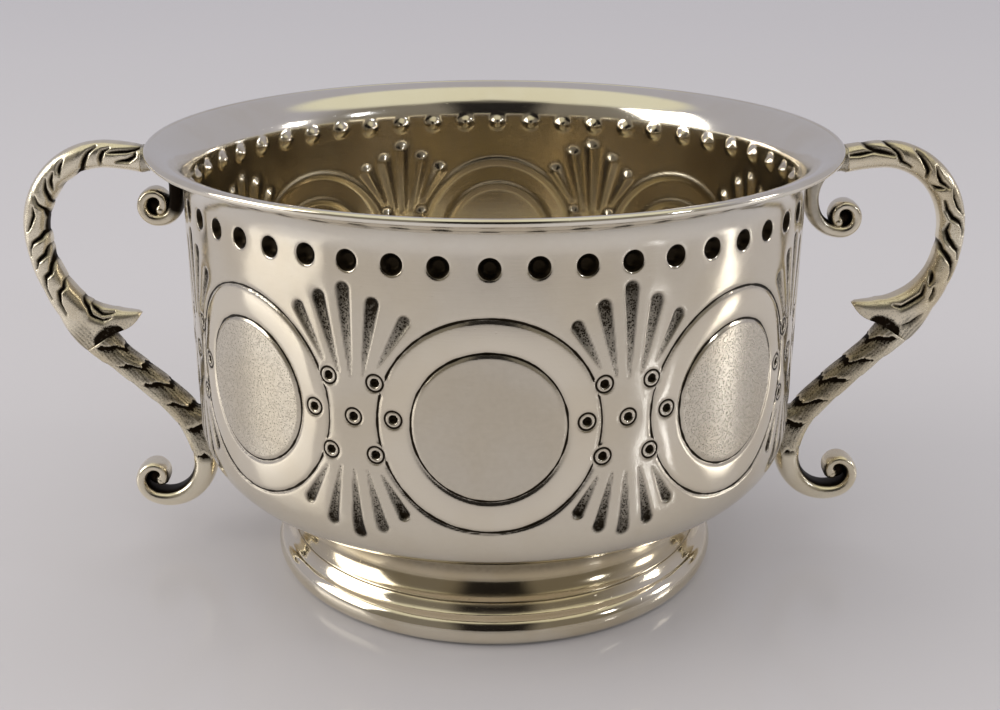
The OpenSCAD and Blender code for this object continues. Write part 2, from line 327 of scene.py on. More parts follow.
class NodeBench:
    """Lays nodes in a tree and links them."""

    def __init__(self, tree: bpy.types.NodeTree) -> None:
        """Takes the tree to work on."""
        self.tree = tree

    def add(self, kind: str, **settings: object) -> bpy.types.Node:
        """Adds a node and sets its options.

        Args:
            kind: Kind of node.
            settings: Its options by name.

        Returns:
            The new node.
        """
        node = self.tree.nodes.new(kind)
        for key, value in settings.items():
            setattr(node, key, value)
        return node

    def wire(self, source: bpy.types.NodeSocket, target: bpy.types.NodeSocket) -> None:
        """Links one socket to another."""
        self.tree.links.new(source, target)

    def feed(self, socket: bpy.types.NodeSocket, value: object) -> None:
        """Links a socket to its source, or sets it to a number or a colour.

        Args:
            socket: The socket.
            value: A socket, a number or a colour.
        """
        if isinstance(value, bpy.types.NodeSocket):
            self.wire(value, socket)
        else:
            socket.default_value = (*value, 1.0) if isinstance(value, tuple) else value

    def math(self, operation: str, *values: object, clamp: bool = False) -> bpy.types.NodeSocket:
        """Adds a sum, product or other step on numbers.

        Args:
            operation: The step's name.
            values: Sockets or numbers, in the order of the step's inputs.
            clamp: Whether the outcome is kept between 0 and 1.

        Returns:
            The socket with the outcome.
        """
        node = self.add("ShaderNodeMath", operation=operation, use_clamp=clamp)
        for socket, value in zip(node.inputs, values):
            self.feed(socket, value)
        return node.outputs[0]

    def mix(self, factor: object, first: object, second: object) -> bpy.types.NodeSocket:
        """Adds a blend of two colours.

        Args:
            factor: Share of the second colour.
            first: A socket or a colour.
            second: A socket or a colour.

        Returns:
            The socket with the blend.
        """
        node = self.add("ShaderNodeMix", data_type="RGBA")
        for socket, value in ((0, factor), (6, first), (7, second)):
            self.feed(node.inputs[socket], value)
        return node.outputs[2]

    def span(self, value: bpy.types.NodeSocket, low: float, high: float) -> bpy.types.NodeSocket:
        """Stretches the range between low and high to 0 and 1, smoothly.

        Args:
            value: The socket with the value.
            low: Value that gives 0.
            high: Value that gives 1.

        Returns:
            The socket with the outcome.
        """
        node = self.add("ShaderNodeMapRange", interpolation_type="SMOOTHSTEP")
        self.wire(value, node.inputs["Value"])
        node.inputs["From Min"].default_value = low
        node.inputs["From Max"].default_value = high
        return node.outputs["Result"]

    def noise(self, place: bpy.types.NodeSocket, scale: float, detail: float = 2.0) -> bpy.types.NodeSocket:
        """Adds a noise.

        Args:
            place: Where it is looked up.
            scale: Its fineness.
            detail: Number of finer noises laid over it.

        Returns:
            The socket with its value.
        """
        node = self.add("ShaderNodeTexNoise")
        self.wire(place, node.inputs["Vector"])
        node.inputs["Scale"].default_value = scale
        node.inputs["Detail"].default_value = detail
        return node.outputs["Fac"]

    def punch(self, place: bpy.types.NodeSocket) -> bpy.types.NodeSocket:
        """Adds the dots of a matting punch and gives the distance from the nearest.

        Args:
            place: Where the dots are looked up.

        Returns:
            The socket with the distance.
        """
        node = self.add("ShaderNodeTexVoronoi")
        self.wire(place, node.inputs["Vector"])
        node.inputs["Scale"].default_value = PUNCH_SCALE
        return node.outputs["Distance"]


class Effects:
    """The effects that all finishes share, each a node group with named sockets."""

    # Half width of the painted shade along a chased line in millimetres, how much it varies, and that along a
    # punched ring
    LINE_HALF, LINE_VARIES, RING_HALF = 0.11, 0.1, 0.15
    # Noise scales along X, Y and Z that draw the polishing lines round the cup
    POLISH_SCALES = (240.0, 240.0, 5200.0)

    @staticmethod
    def _group(name: str, inputs: dict[str, str], outputs: dict[str, str]) -> bpy.types.NodeTree:
        """Makes an empty group with its sockets.

        Args:
            name: Name of the group.
            inputs: Kinds of its inputs by name.
            outputs: Kinds of its outputs.

        Returns:
            The node group.
        """
        tree = bpy.data.node_groups.new(name, "ShaderNodeTree")
        for key, kind in inputs.items():
            tree.interface.new_socket(key, in_out="INPUT", socket_type=kind)
        for key, kind in outputs.items():
            tree.interface.new_socket(key, in_out="OUTPUT", socket_type=kind)
        return tree

    @classmethod
    def tone(cls) -> bpy.types.NodeTree:
        """Colour of worn silver: bright, warmer in clouds, dark where dirt and painted shade sit.

        Returns:
            The node group.
        """
        name = "silver_tone"
        if name in bpy.data.node_groups:
            return bpy.data.node_groups[name]
        colour, number = "NodeSocketColor", "NodeSocketFloat"
        inputs = {"Bright": colour, "Warm": colour, "Dark": colour, "Clouds": number}
        inputs |= {key.title(): number for key in LAYERS}
        tree = cls._group(name, inputs, {"Colour": colour, "Grime": number})
        bench = NodeBench(tree)
        inlet, outlet = bench.add("NodeGroupInput").outputs, bench.add("NodeGroupOutput").inputs
        place = bench.add("ShaderNodeTexCoord").outputs["Object"]
        clouds = bench.span(bench.noise(place, scale=85.0, detail=6.0), 0.4, 0.66)
        share = bench.math("MULTIPLY", clouds, inlet["Clouds"])
        share = bench.math("ADD", share, inlet["Tarnish"], clamp=True)
        silver = bench.mix(share, inlet["Bright"], inlet["Warm"])
        # Mottled darkness, partly dirt and partly painted shade
        grain = bench.math("MULTIPLY_ADD", bench.noise(place, scale=1500.0, detail=4.0), 0.6, 0.7)
        patchy = bench.math("MULTIPLY", inlet["Soot"], grain)
        # The punch dots of the matting are painted darker, as shade in their dents
        stipple = bench.math("SUBTRACT", 0.6, bench.span(bench.punch(place), 0.2, 0.6))
        bite = bench.math("MULTIPLY", stipple, bench.math("MULTIPLY_ADD", inlet["Soot"], 0.6, 0.75))
        patchy = bench.math("ADD", patchy, bench.math("MULTIPLY", bite, inlet["Mat"]), clamp=True)
        # Painted shade along the chased lines and the punched rings, and in the punched hollows
        width = bench.span(bench.noise(place, scale=420.0), 0.3, 0.7)
        half = bench.math("MULTIPLY_ADD", width, cls.LINE_VARIES, cls.LINE_HALF)
        off_line = bench.math("SUBTRACT", bench.math("ABSOLUTE", inlet["Line"]), half)
        off_ring = bench.math("SUBTRACT", bench.math("ABSOLUTE", inlet["Ring"]), cls.RING_HALF)
        clear = bench.math("MULTIPLY", bench.span(off_line, -0.05, 0.06), bench.span(off_ring, -0.05, 0.06))
        clear = bench.math("MULTIPLY", clear, bench.span(inlet["Hollow"], -0.06, 0.06))
        # Share of the dark colour, for both dirt and painted shade
        darkening = bench.math("MAXIMUM", patchy, bench.math("SUBTRACT", 1.0, clear))
        bench.wire(bench.mix(darkening, silver, inlet["Dark"]), outlet["Colour"])
        bench.wire(darkening, outlet["Grime"])
        return tree

    @classmethod
    def marks(cls) -> bpy.types.NodeTree:
        """Height and dullness left by matting punches, polishing and small knocks.

        Returns:
            The node group.
        """
        name = "hand_marks"
        if name in bpy.data.node_groups:
            return bpy.data.node_groups[name]
        number = "NodeSocketFloat"
        tree = cls._group(name, {"Mat": number, "Lines": number}, {"Height": number, "Dullness": number})
        bench = NodeBench(tree)
        inlet, outlet = bench.add("NodeGroupInput").outputs, bench.add("NodeGroupOutput").inputs
        place = bench.add("ShaderNodeTexCoord").outputs["Object"]
        stretch = bench.add("ShaderNodeMapping")
        stretch.inputs["Scale"].default_value = cls.POLISH_SCALES
        bench.wire(place, stretch.inputs["Vector"])
        lines = bench.noise(stretch.outputs["Vector"], scale=1.0, detail=3.0)
        rubbed = bench.math("MULTIPLY", lines, inlet["Lines"])
        knocks = bench.span(bench.noise(place, scale=1900.0), 0.68, 0.76)
        pits = bench.math("MULTIPLY", knocks, inlet["Lines"])
        matted = bench.math("MULTIPLY", inlet["Mat"], 0.2)
        dots = bench.math("MULTIPLY", bench.span(bench.punch(place), 0.1, 0.7), matted)
        height = bench.math("SUBTRACT", bench.math("ADD", dots, rubbed), pits)
        bench.wire(height, outlet["Height"])
        dull = bench.math("ADD", matted, bench.math("MULTIPLY", rubbed, 0.25))
        bench.wire(dull, outlet["Dullness"])
        return tree


@dataclass(frozen=True)
class Finish:
    """One finish of the silver.

    Attributes:
        name: Name of the material.
        slot: Material slot of the record.
        bright: Colour where it is polished.
        warm: Colour where it is a little tarnished.
        dark: Colour of the dirt and the painted shade in the recesses.
        gloss: Roughness of the polished metal.
        clouds: Amount of tarnish.
        lines: Strength of the polishing lines.
        relief: Height of the fine marks in metres.
    """

    name: str
    slot: str
    bright: Colour
    warm: Colour
    dark: Colour
    gloss: float
    clouds: float
    lines: float
    relief: float

    def material(self) -> bpy.types.Material:
        """Makes the material, or gives the one made before.

        Returns:
            The material.
        """
        if self.name in bpy.data.materials:
            return bpy.data.materials[self.name]
        material = bpy.data.materials.new(self.name)
        material.use_nodes = True
        bench = NodeBench(material.node_tree)
        shader = material.node_tree.nodes["Principled BSDF"]
        shader.inputs["Metallic"].default_value = 1.0
        layers = {key: bench.add("ShaderNodeAttribute", attribute_name=key).outputs["Fac"] for key in LAYERS}
        tone = bench.add("ShaderNodeGroup", node_tree=Effects.tone())
        for key, value in (("Bright", self.bright), ("Warm", self.warm), ("Dark", self.dark)):
            tone.inputs[key].default_value = (*value, 1.0)
        tone.inputs["Clouds"].default_value = self.clouds
        for key, layer in layers.items():
            bench.wire(layer, tone.inputs[key.title()])
        marks = bench.add("ShaderNodeGroup", node_tree=Effects.marks())
        marks.inputs["Lines"].default_value = self.lines
        bench.wire(layers["mat"], marks.inputs["Mat"])
        bench.wire(tone.outputs["Colour"], shader.inputs["Base Color"])
        dull = bench.math("ADD", bench.math("MULTIPLY", tone.outputs["Grime"], 0.3), self.gloss)
        bench.wire(bench.math("ADD", dull, marks.outputs["Dullness"], clamp=True), shader.inputs["Roughness"])
        bump = bench.add("ShaderNodeBump")
        bump.inputs["Strength"].default_value = 1.0
        bump.inputs["Distance"].default_value = self.relief
        bench.wire(marks.outputs["Height"], bump.inputs["Height"])
        bench.wire(bump.outputs["Normal"], shader.inputs["Normal"])
        return material


class Finishes(Enum):
    """The finishes of the cup."""

    CHASED = Finish(
        "chased_silver", "silver_chased",
        bright=(0.87, 0.83, 0.74), warm=(0.76, 0.68, 0.53), dark=(0.02, 0.015, 0.009),
        gloss=0.1, clouds=0.25, lines=0.08, relief=0.00006,
    )
    PLAIN = Finish(
        "plain_silver", "silver_plain",
        bright=(0.88, 0.84, 0.74), warm=(0.66, 0.56, 0.38), dark=(0.015, 0.011, 0.007),
        gloss=0.08, clouds=0.3, lines=0.1, relief=0.00005,
    )
    SOLDER = Finish(
        "dull_solder", "silver_solder",
        bright=(0.6, 0.55, 0.45), warm=(0.4, 0.35, 0.26), dark=(0.02, 0.015, 0.01),
        gloss=0.35, clouds=0.8, lines=0.3, relief=0.00008,
    )
    CAST = Finish(
        "cast_silver", "silver_cast",
        bright=(0.89, 0.82, 0.66), warm=(0.7, 0.6, 0.41), dark=(0.018, 0.012, 0.007),
        gloss=0.22, clouds=0.8, lines=0.1, relief=0.00007,
    )
    CURL = Finish(
        "curled_strip", "silver_curl",
        bright=(0.85, 0.79, 0.66), warm=(0.68, 0.6, 0.44), dark=(0.014, 0.01, 0.007),
        gloss=0.16, clouds=0.7, lines=0.15, relief=0.00006,
    )


def settle(piece: bpy.types.Object, node: str, finish: Finishes) -> None:
    """Gives a piece its finish and its place in the assembly.

    Args:
        piece: The piece.
        node: The solid that it stands for.
        finish: Its finish.
    """
    piece.data.materials.append(finish.value.material())
    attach(piece, "root")
    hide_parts(node)
    LOG.info("%s: %d faces, %s", piece.name, len(piece.data.polygons), finish.value.name)


# Bowl


@dataclass(frozen=True)
class Form:
    """Sizes of the raised bowl that the other pieces are fitted to.

    Attributes:
        wall_r: Outer radius of the straight wall.
        wall_t: Thickness of the sheet.
        corner_r: Radius of the corner between wall and floor.
        corner_z: Height where the corner runs into the wall.
        lip_r: Radius of the flare of the lip.
        lip_z: Height where the flare starts.
        wire_r: Radius of the rim wire.
    """

    wall_r: float = 45.0
    wall_t: float = 0.9
    corner_r: float = 9.6
    corner_z: float = 24.9
    lip_r: float = 4.695
    lip_z: float = 60.0
    wire_r: float = 0.55


FORM = Form()


@dataclass
class Chasing:
    """The pattern chased into the wall from outside.

    Places on the wall are given as the distance u round it from the middle of a
    spray and the height z. The sprays lie between the roundels. A dot is given by
    its middle, and a flute by its tip, the middle of its head and its half width.

    Attributes:
        turn: Degrees by which the pattern is turned to the right.
        repeats: Number of sprays and of roundels.
        dimples: Number of dimples, with their height, radius and depth.
        boss_lift: How much higher a dimple shows inside, with its radius and height there.
        roundel_z: Height of the middle of a roundel.
        outer_r: Radius of its outer line, with that line's depth.
        inner_r: Radius of its inner line, with that line's depth.
        dot_ring_r: Radius of the ring round a dot.
        dot_hole_r: Radius of the hole of a dot, with its depth.
        flute_tip: Half width of a flute at its tip.
        deepest: Depth that nothing goes past.
        dots: The dots on the right of a spray and in its middle.
        flutes: The flutes on the right of a spray and in its middle.
        front_left_heads: Number of a flute and how far its head is off along u and z.
    """

    turn: float = -0.8
    repeats: int = 8
    dimples: int = 48
    dimple_z: float = 58.5
    dimple_r: float = 1.45
    dimple_depth: float = 0.95
    boss_lift: float = 0.55
    boss_r: float = 1.4
    boss_h: float = 0.95
    roundel_z: float = 38.0
    outer_r: float = 14.25
    outer_sink: float = 0.2
    inner_r: float = 9.85
    inner_sink: float = 0.26
    dot_ring_r: float = 1.12
    dot_hole_r: float = 0.63
    dot_depth: float = 0.6
    flute_tip: float = 0.15
    deepest: float = 1.15
    dots: tuple[tuple[float, float], ...] = ((0.0, 38.4), (3.3, 43.1), (5.5, 38.6), (3.3, 33.3))
    flutes: tuple[tuple[float, float, float, float, float], ...] = (
        (0.0, 43.7, 0.0, 55.1, 0.88), (1.7, 44.0, 3.55, 53.2, 0.84), (3.85, 45.4, 6.9, 50.9, 0.74),
        (0.0, 31.0, 0.0, 22.6, 0.82), (1.9, 31.2, 3.45, 23.6, 0.78), (3.9, 30.8, 6.35, 26.0, 0.7),
    )
    front_left_heads: tuple[tuple[int, float, float], ...] = (
        (5, -0.5, 0.7), (3, -0.7, 0.2), (0, -0.7, -0.3), (2, -0.3, 0.1), (4, 0.4, 0.5),
        (11, -0.6, -0.4), (9, -0.1, -0.4), (6, 0.3, -0.7), (8, 0.3, -0.2), (10, 0.4, -0.4),
    )

    def __post_init__(self) -> None:
        """Draws the small unevenness of handwork."""
        rng = np.random.default_rng(SEED)
        self.shifts = rng.normal(0.0, 0.13, (self.repeats, 2 * len(self.flutes), 2))
        # The two sprays at the front are even, but for the heads of the left one
        self.shifts[[0, -1]] = 0.0
        for k, du, dz in self.front_left_heads:
            self.shifts[-1, k] = du, dz / 2
        self.depths = rng.uniform(0.85, 1.12, (self.repeats, 2 * len(self.flutes)))
        self.dot_shifts = rng.normal(0.0, 0.09, (self.repeats, 2 * len(self.dots), 2))
        self.dimple_shifts = rng.normal(0.0, 0.07, (self.dimples, 2))

    def _locate(self, azimuth: Array) -> tuple[Array, Array, Array]:
        """Finds the repeat, the place in it and the place among the dimples.

        Args:
            azimuth: Degrees round from the front, towards the right.

        Returns:
            The repeat's number, u and the turn in degrees.
        """
        turned = np.mod(azimuth - self.turn, 360.0)
        pitch = 360.0 / self.repeats
        sector = np.minimum((turned // pitch).astype(int), self.repeats - 1)
        u = np.radians(turned - pitch * sector - pitch / 2) * FORM.wall_r
        return sector, u, turned

    def _dimple(self, turned: Array, z: Array) -> Array:
        """Gives the distance from the middle of the nearest dimple.

        Args:
            turned: Degrees round from the first dimple.
            z: Heights.

        Returns:
            The distances.
        """
        pitch = 360.0 / self.dimples
        near = np.rint(turned / pitch).astype(int)
        shift = self.dimple_shifts[near % self.dimples]
        du = np.radians(turned - pitch * near) * FORM.wall_r - shift[..., 0]
        return np.hypot(du, z - self.dimple_z - 0.6 * shift[..., 1])

    def _mirrored(self, items: Sequence[tuple[float, ...]]) -> list[tuple[int, tuple[float, ...], int]]:
        """Lists each mark and its mirror image with a number and a sign.

        Args:
            items: The marks on the right of a spray and in its middle.

        Returns:
            Number, mark and sign of each.
        """
        out = []
        for k, item in enumerate(items):
            signs = (1,) if item[0] == 0 and (len(item) < 3 or item[2] == 0) else (1, -1)
            out += [(2 * k + (sign < 0), item, sign) for sign in signs]
        return out

    def _dot_list(self, sector: Array, u: Array, z: Array) -> list[Array]:
        """Gives the distances from the middle of each ring-punched dot.

        Args:
            sector: Numbers of the repeats.
            u: Distances from the middle of the spray.
            z: Heights.

        Returns:
            Distances, dot by dot.
        """
        out = []
        for k, (u0, z0), sign in self._mirrored(self.dots):
            shift = self.dot_shifts[sector, k]
            out.append(np.hypot(u - sign * u0 - shift[..., 0], z - z0 - shift[..., 1]))
        return out

    def _flute_list(self, sector: Array, u: Array, z: Array) -> list[tuple[Array, Array, Array, Array]]:
        """Gives each flute's place along it, distance, half width and depth.

        Args:
            sector: Numbers of the repeats.
            u: Distances from the middle of the spray.
            z: Heights.

        Returns:
            Flute by flute: place from tip to head, distance, half width and depth.
        """
        out = []
        for k, (u0, z0, u1, z1, half), sign in self._mirrored(self.flutes):
            shift = self.shifts[sector, k]
            ua, za = sign * u0 + 0 * u, z0 + 0 * z
            du, dz = sign * (u1 - u0) + shift[..., 0], (z1 - z0) + 2 * shift[..., 1]
            t = np.clip(((u - ua) * du + (z - za) * dz) / (du * du + dz * dz), 0, 1)
            away = np.hypot(u - ua - t * du, z - za - t * dz)
            wide = self.flute_tip + (half - self.flute_tip) * t**0.85
            out.append((t, away, wide, self.depths[sector, k]))
        return out

    def _roundel(self, sector: Array, u: Array, z: Array) -> tuple[Array, Array]:
        """Gives the distance from the nearest roundel's middle and its number.

        Args:
            sector: Numbers of the repeats.
            u: Distances from the middle of the spray.
            z: Heights.

        Returns:
            The distances and the numbers, of which 0 is at the front.
        """
        half_pitch = math.pi * FORM.wall_r / self.repeats
        number = np.where(u < 0, sector, (sector + 1) % self.repeats)
        return np.hypot(half_pitch - np.abs(u), z - self.roundel_z), number

    def outside(self, azimuth: Array, z: Array) -> tuple[Array, Layers]:
        """Works out the pattern on the outside.

        Args:
            azimuth: Degrees round from the front, towards the right.
            z: Heights.

        Returns:
            How far the surface sinks, and its layers.
        """
        sector, u, turned = self._locate(azimuth)
        dots = self._dot_list(sector, u, z)
        near = np.minimum.reduce(dots)
        far, number = self._roundel(sector, u, z)
        off_outer, off_inner = far - self.outer_r, far - self.inner_r
        # The outer lines of two roundels stop short of the four dots that stand on them
        whole = np.ones_like(u)
        for away in (dots[1], dots[2], dots[5], dots[6]):
            whole = np.minimum(whole, ease(1.3, 2.0, away))
        sink = self.outer_sink * (bell(off_outer, 0.28) * whole) + self.inner_sink * bell(off_inner, 0.3)
        # Painted shade along the roundel's outer and inner lines
        soot = np.maximum(0.3 * bell(off_outer, 0.4) * whole, 0.25 * bell(off_inner, 0.35))
        # The ground outside the roundels is darkened a little
        soot = np.maximum(soot, 0.1 * ease(self.outer_r, self.outer_r + 0.6, far))
        # Painted dark reflection over the flat disc inside the inner line
        soot = np.maximum(soot, 0.2 * (1 - ease(self.inner_r - 0.5, self.inner_r, far)))
        # Signed distance from the roundel lines, along which the finish paints a dark line of shade; near a
        # dot it is pushed off zero, so the line breaks there
        line = np.minimum(np.minimum(self.outer_r - far, off_inner), 0.5)
        line = line + np.sign(line) * (1 - ease(1.15, 1.6, near))
        # The band between the lines is domed, and the ground falls to its outer line
        past_inner = ease(self.inner_r - 0.1, self.inner_r + 0.3, far)
        in_band = past_inner * (1 - ease(self.outer_r - 0.3, self.outer_r + 0.1, far))
        sink += 0.03 * in_band * (far - (self.outer_r + self.inner_r) / 2) ** 2
        sink += 0.09 * np.exp(-np.abs(off_outer) / 0.9) * (far > self.outer_r) * whole
        mat = 0.4 * (1 - ease(self.inner_r - 0.7, self.inner_r - 0.3, far)) * (number != 0)
        hollow = np.ones_like(u)
        # Each dot is sunk, with painted shade in the groove of its ring; its hole and ring line are painted
        # black as shade through the hollow and ring layers
        for away in dots:
            rim = bell(away - self.dot_ring_r, 0.2)
            hole = 1 - ease(0.36, 0.66, away)
            sink = sink + 0.13 * rim + self.dot_depth * hole + 0.1 * bell(away, 2.1)
            soot = np.maximum(soot, 0.3 * bell(away - self.dot_ring_r, 0.3))
            hollow = np.minimum(hollow, away - self.dot_hole_r)
        # Painted shade in each flute, darker towards its deep wide head
        for t, away, half, depth in self._flute_list(sector, u, z):
            inside = 1 - ease(0.35 * half, 1.4 * half, away)
            sink = sink + depth * (0.08 + 0.28 * t) * inside + 0.1 * t * bell(away, half + 0.7)
            dark = depth * (0.38 + 0.62 * t**0.8)
            soot = np.maximum(soot, dark * (1 - ease(0.8 * half, 1.45 * half, away)))
            mat = np.maximum(mat, (0.5 - 0.28 * t) * inside)
        away = self._dimple(turned, z)
        pit = 1 - ease(0.4 * self.dimple_r, 1.06 * self.dimple_r, away)
        sink = sink + self.dimple_depth * pit + 0.08 * bell(away, 2.2)
        # The dimple is painted black as shade through the hollow layer
        hollow = np.minimum(hollow, away - 0.98 * self.dimple_r)
        # Distance from the punched ring, along which shade is painted dark
        ring = np.clip(self.dot_ring_r - near, -0.6, 0.6)
        layers = {"soot": soot, "mat": mat, "line": line, "ring": ring, "hollow": hollow}
        return np.minimum(sink, self.deepest), layers

    def inside(self, azimuth: Array, z: Array) -> tuple[Array, Array]:
        """Works out how the pattern shows on the inside.

        Args:
            azimuth: Degrees round from the front, towards the right.
            z: Heights.

        Returns:
            How far the surface rises and its darkness, a painted shade over the inside.
        """
        sector, u, turned = self._locate(azimuth)
        far, _ = self._roundel(sector, u, z)
        rise = 0.2 * bell(far - self.outer_r, 0.55) + 0.18 * bell(far - self.inner_r, 0.5)
        for away in self._dot_list(sector, u, z):
            rise = np.maximum(rise, self.dot_depth * bell(away, 0.85))
        for t, away, half, depth in self._flute_list(sector, u, z):
            rise = np.maximum(rise, depth * (0.15 + 0.42 * t) * bell(away, 0.8 * half + 0.28))
        away = self._dimple(turned, z - self.boss_lift)
        rise = np.maximum(rise, self.boss_h * np.maximum(0, 1 - (away / self.boss_r) ** 1.6))
        # Painted shade over the whole inside, deeper on the low flanks of the raised marks
        return rise, 0.12 + 0.25 * ease(0.02, 0.2, rise) * (1 - ease(0.2, 0.5, rise))


@dataclass
class Bowl:
    """The raised bowl with its lip and its chasing.

    Attributes:
        floor_slope: Slope of the floor where it meets the corner, in degrees.
        floor_r: Radius of the arc of the floor.
        lip_sweep: Degrees that the flare of the lip turns through.
        columns: Points round the outer skin, twice as many as round the inner.
        row: Distance between the rows of the wall.
        chased_from: Height below which nothing is chased.
        planishing: Height of the hammer's waves.
        chasing: The pattern.
    """

    floor_slope: float = 14.0
    floor_r: float = 155.94
    lip_sweep: float = 87.0
    columns: int = 1248
    row: float = 0.215
    chased_from: float = 18.0
    planishing: float = 0.012
    chasing: Chasing = field(default_factory=Chasing)

    @property
    def floor(self) -> tuple[float, float]:
        """Centre of the arc of the dished floor."""
        slope = math.radians(self.floor_slope)
        return 0, FORM.corner_z + (self.floor_r - FORM.corner_r) * math.cos(slope)

    @property
    def corner(self) -> tuple[float, float]:
        """Centre of the arc between wall and floor."""
        return FORM.wall_r - FORM.corner_r, FORM.corner_z

    @property
    def lip(self) -> tuple[float, float]:
        """Centre of the arc of the flared lip."""
        return FORM.wall_r + FORM.lip_r, FORM.lip_z

    def outer_profile(self) -> tuple[Array, Array]:
        """Gives the outer profile from the floor to the edge of the lip.

        Returns:
            Points (r, z) and the directions that they face.
        """
        rows = int((FORM.lip_z - FORM.corner_z) / self.row)
        wall_z = np.linspace(FORM.corner_z, FORM.lip_z, rows)[1:-1]
        low = self.floor_slope - 90
        runs = [
            (arc(self.floor, self.floor_r, -89.7, low, 12), self.floor, 1),
            (arc(self.corner, FORM.corner_r, low, -35, 20)[1:], self.corner, 1),
            (arc(self.corner, FORM.corner_r, -35, 0, 28)[1:], self.corner, 1),
            (np.stack([np.full_like(wall_z, FORM.wall_r), wall_z], -1), None, 1),
            (arc(self.lip, FORM.lip_r, 180, 180 - self.lip_sweep, 28), self.lip, -1),
        ]
        return self._with_facing(runs, (1.0, 0.0))

    def inner_profile(self) -> tuple[Array, Array]:
        """Gives the inner profile from the edge of the lip to the floor.

        Returns:
            Points (r, z) and the directions that they face.
        """
        wall_z = np.linspace(FORM.lip_z, FORM.corner_z, 112)[1:-1]
        low = self.floor_slope - 90
        runs = [
            (arc(self.lip, FORM.lip_r + FORM.wall_t, 180 - self.lip_sweep, 180, 22), self.lip, 1),
            (np.stack([np.full_like(wall_z, FORM.wall_r - FORM.wall_t), wall_z], -1), None, -1),
            (arc(self.corner, FORM.corner_r - FORM.wall_t, 0, low, 30), self.corner, -1),
            (arc(self.floor, self.floor_r - FORM.wall_t, low, -89.7, 14)[1:], self.floor, -1),
        ]
        return self._with_facing(runs, (-1.0, 0.0))

    @staticmethod
    def _with_facing(runs: list, straight: tuple[float, float]) -> tuple[Array, Array]:
        """Joins runs of points and works out where each faces.

        Args:
            runs: Points, the centre of their arc or None, and the sign of their facing.
            straight: Where the points of a straight run face.

        Returns:
            All the points, and the directions that they face.
        """
        points, facing = [], []
        for run, centre, sign in runs:
            points.append(run)
            if centre is None:
                facing.append(np.tile(straight, (len(run), 1)))
            else:
                out = sign * (run - np.asarray(centre))
                facing.append(out / np.linalg.norm(out, axis=1, keepdims=True))
        return np.concatenate(points), np.concatenate(facing)

    def _planish(self, azimuth: Array, z: Array) -> Array:
        """Gives the faint unevenness left by the hammer.

        Args:
            azimuth: Degrees round from the front.
            z: Heights.

        Returns:
            How far each point is off.
        """
        a = np.radians(azimuth)
        waves = ((9, 0.11, 0.0), (14, -0.19, 1.3), (5, 0.31, 0.4), (23, 0.07, 2.2))
        return self.planishing * sum(np.sin(turns * a + climb * z + start) for turns, climb, start in waves)

    def _skin(self, profile: Array, facing: Array, columns: int, outside: bool) -> tuple[Array, Layers]:
        """Turns a profile round the axis and works the pattern into it.

        Args:
            profile: Points (r, z).
            facing: Directions that they face.
            columns: Points round the axis.
            outside: Whether this is the outer skin.

        Returns:
            Points and their layers by row and column.
        """
        azimuth = np.linspace(0, 360, columns, endpoint=False)[None] + 0 * profile[:, :1]
        z = profile[:, 1:] + 0 * azimuth
        near_wall = (np.abs(facing[:, :1]) > 0.7) * (z > self.chased_from)
        if outside:
            sink, layers = self.chasing.outside(azimuth, z)
            shift = -sink * near_wall
            layers = {key: np.where(near_wall, value, LAYERS[key]) for key, value in layers.items()}
            layers["tarnish"] = 0.55 * (1 - ease(58.5, 62.0, z))
        else:
            rise, soot = self.chasing.inside(azimuth, z)
            worn = 1 - ease(59.5, 61.5, z)
            # Painted shade over the inside and real tarnish, both fading towards the lip
            layers = {"soot": soot * worn, "tarnish": 0.9 * worn}
            shift = rise * near_wall
        uneven = self._planish(azimuth, z) * near_wall * ease(self.chased_from, self.chased_from + 8, z)
        shift = shift - uneven * (1 if outside else -1)
        r = profile[:, :1] + shift * facing[:, :1]
        h = profile[:, 1:] + shift * facing[:, 1:]
        a = np.radians(azimuth)
        return np.stack([r * np.sin(a), -r * np.cos(a), h], axis=-1), layers

    def build(self) -> None:
        """Builds the bowl and gives it its finish."""
        maker = MeshMaker()
        outer_skin = self._skin(*self.outer_profile(), self.columns, outside=True)
        inner_skin = self._skin(*self.inner_profile(), self.columns // 2, outside=False)
        outer = maker.lattice(*outer_skin, (0, 0, 1, 0.6))
        inner = maker.lattice(*inner_skin, (0, 0.62, 1, 0.96))
        maker.bridge(outer[-1], inner[0], (0, 0.605, 1, 0.615))
        low = self.floor[1] - self.floor_r
        below, above = np.array([0, 0, low]), np.array([0, 0, low + FORM.wall_t])
        maker.cap(outer[0], below, {"tarnish": 0.55}, (0.01, 0.965, 0.04, 0.995), last=False)
        # The middle of the inner floor gets the same painted shade and tarnish as the inside
        maker.cap(inner[-1], above, {"soot": 0.12, "tarnish": 0.9}, (0.05, 0.965, 0.08, 0.995), last=True)
        settle(maker.build("bowl_chased"), "bowl", Finishes.CHASED)


# Rim and foot


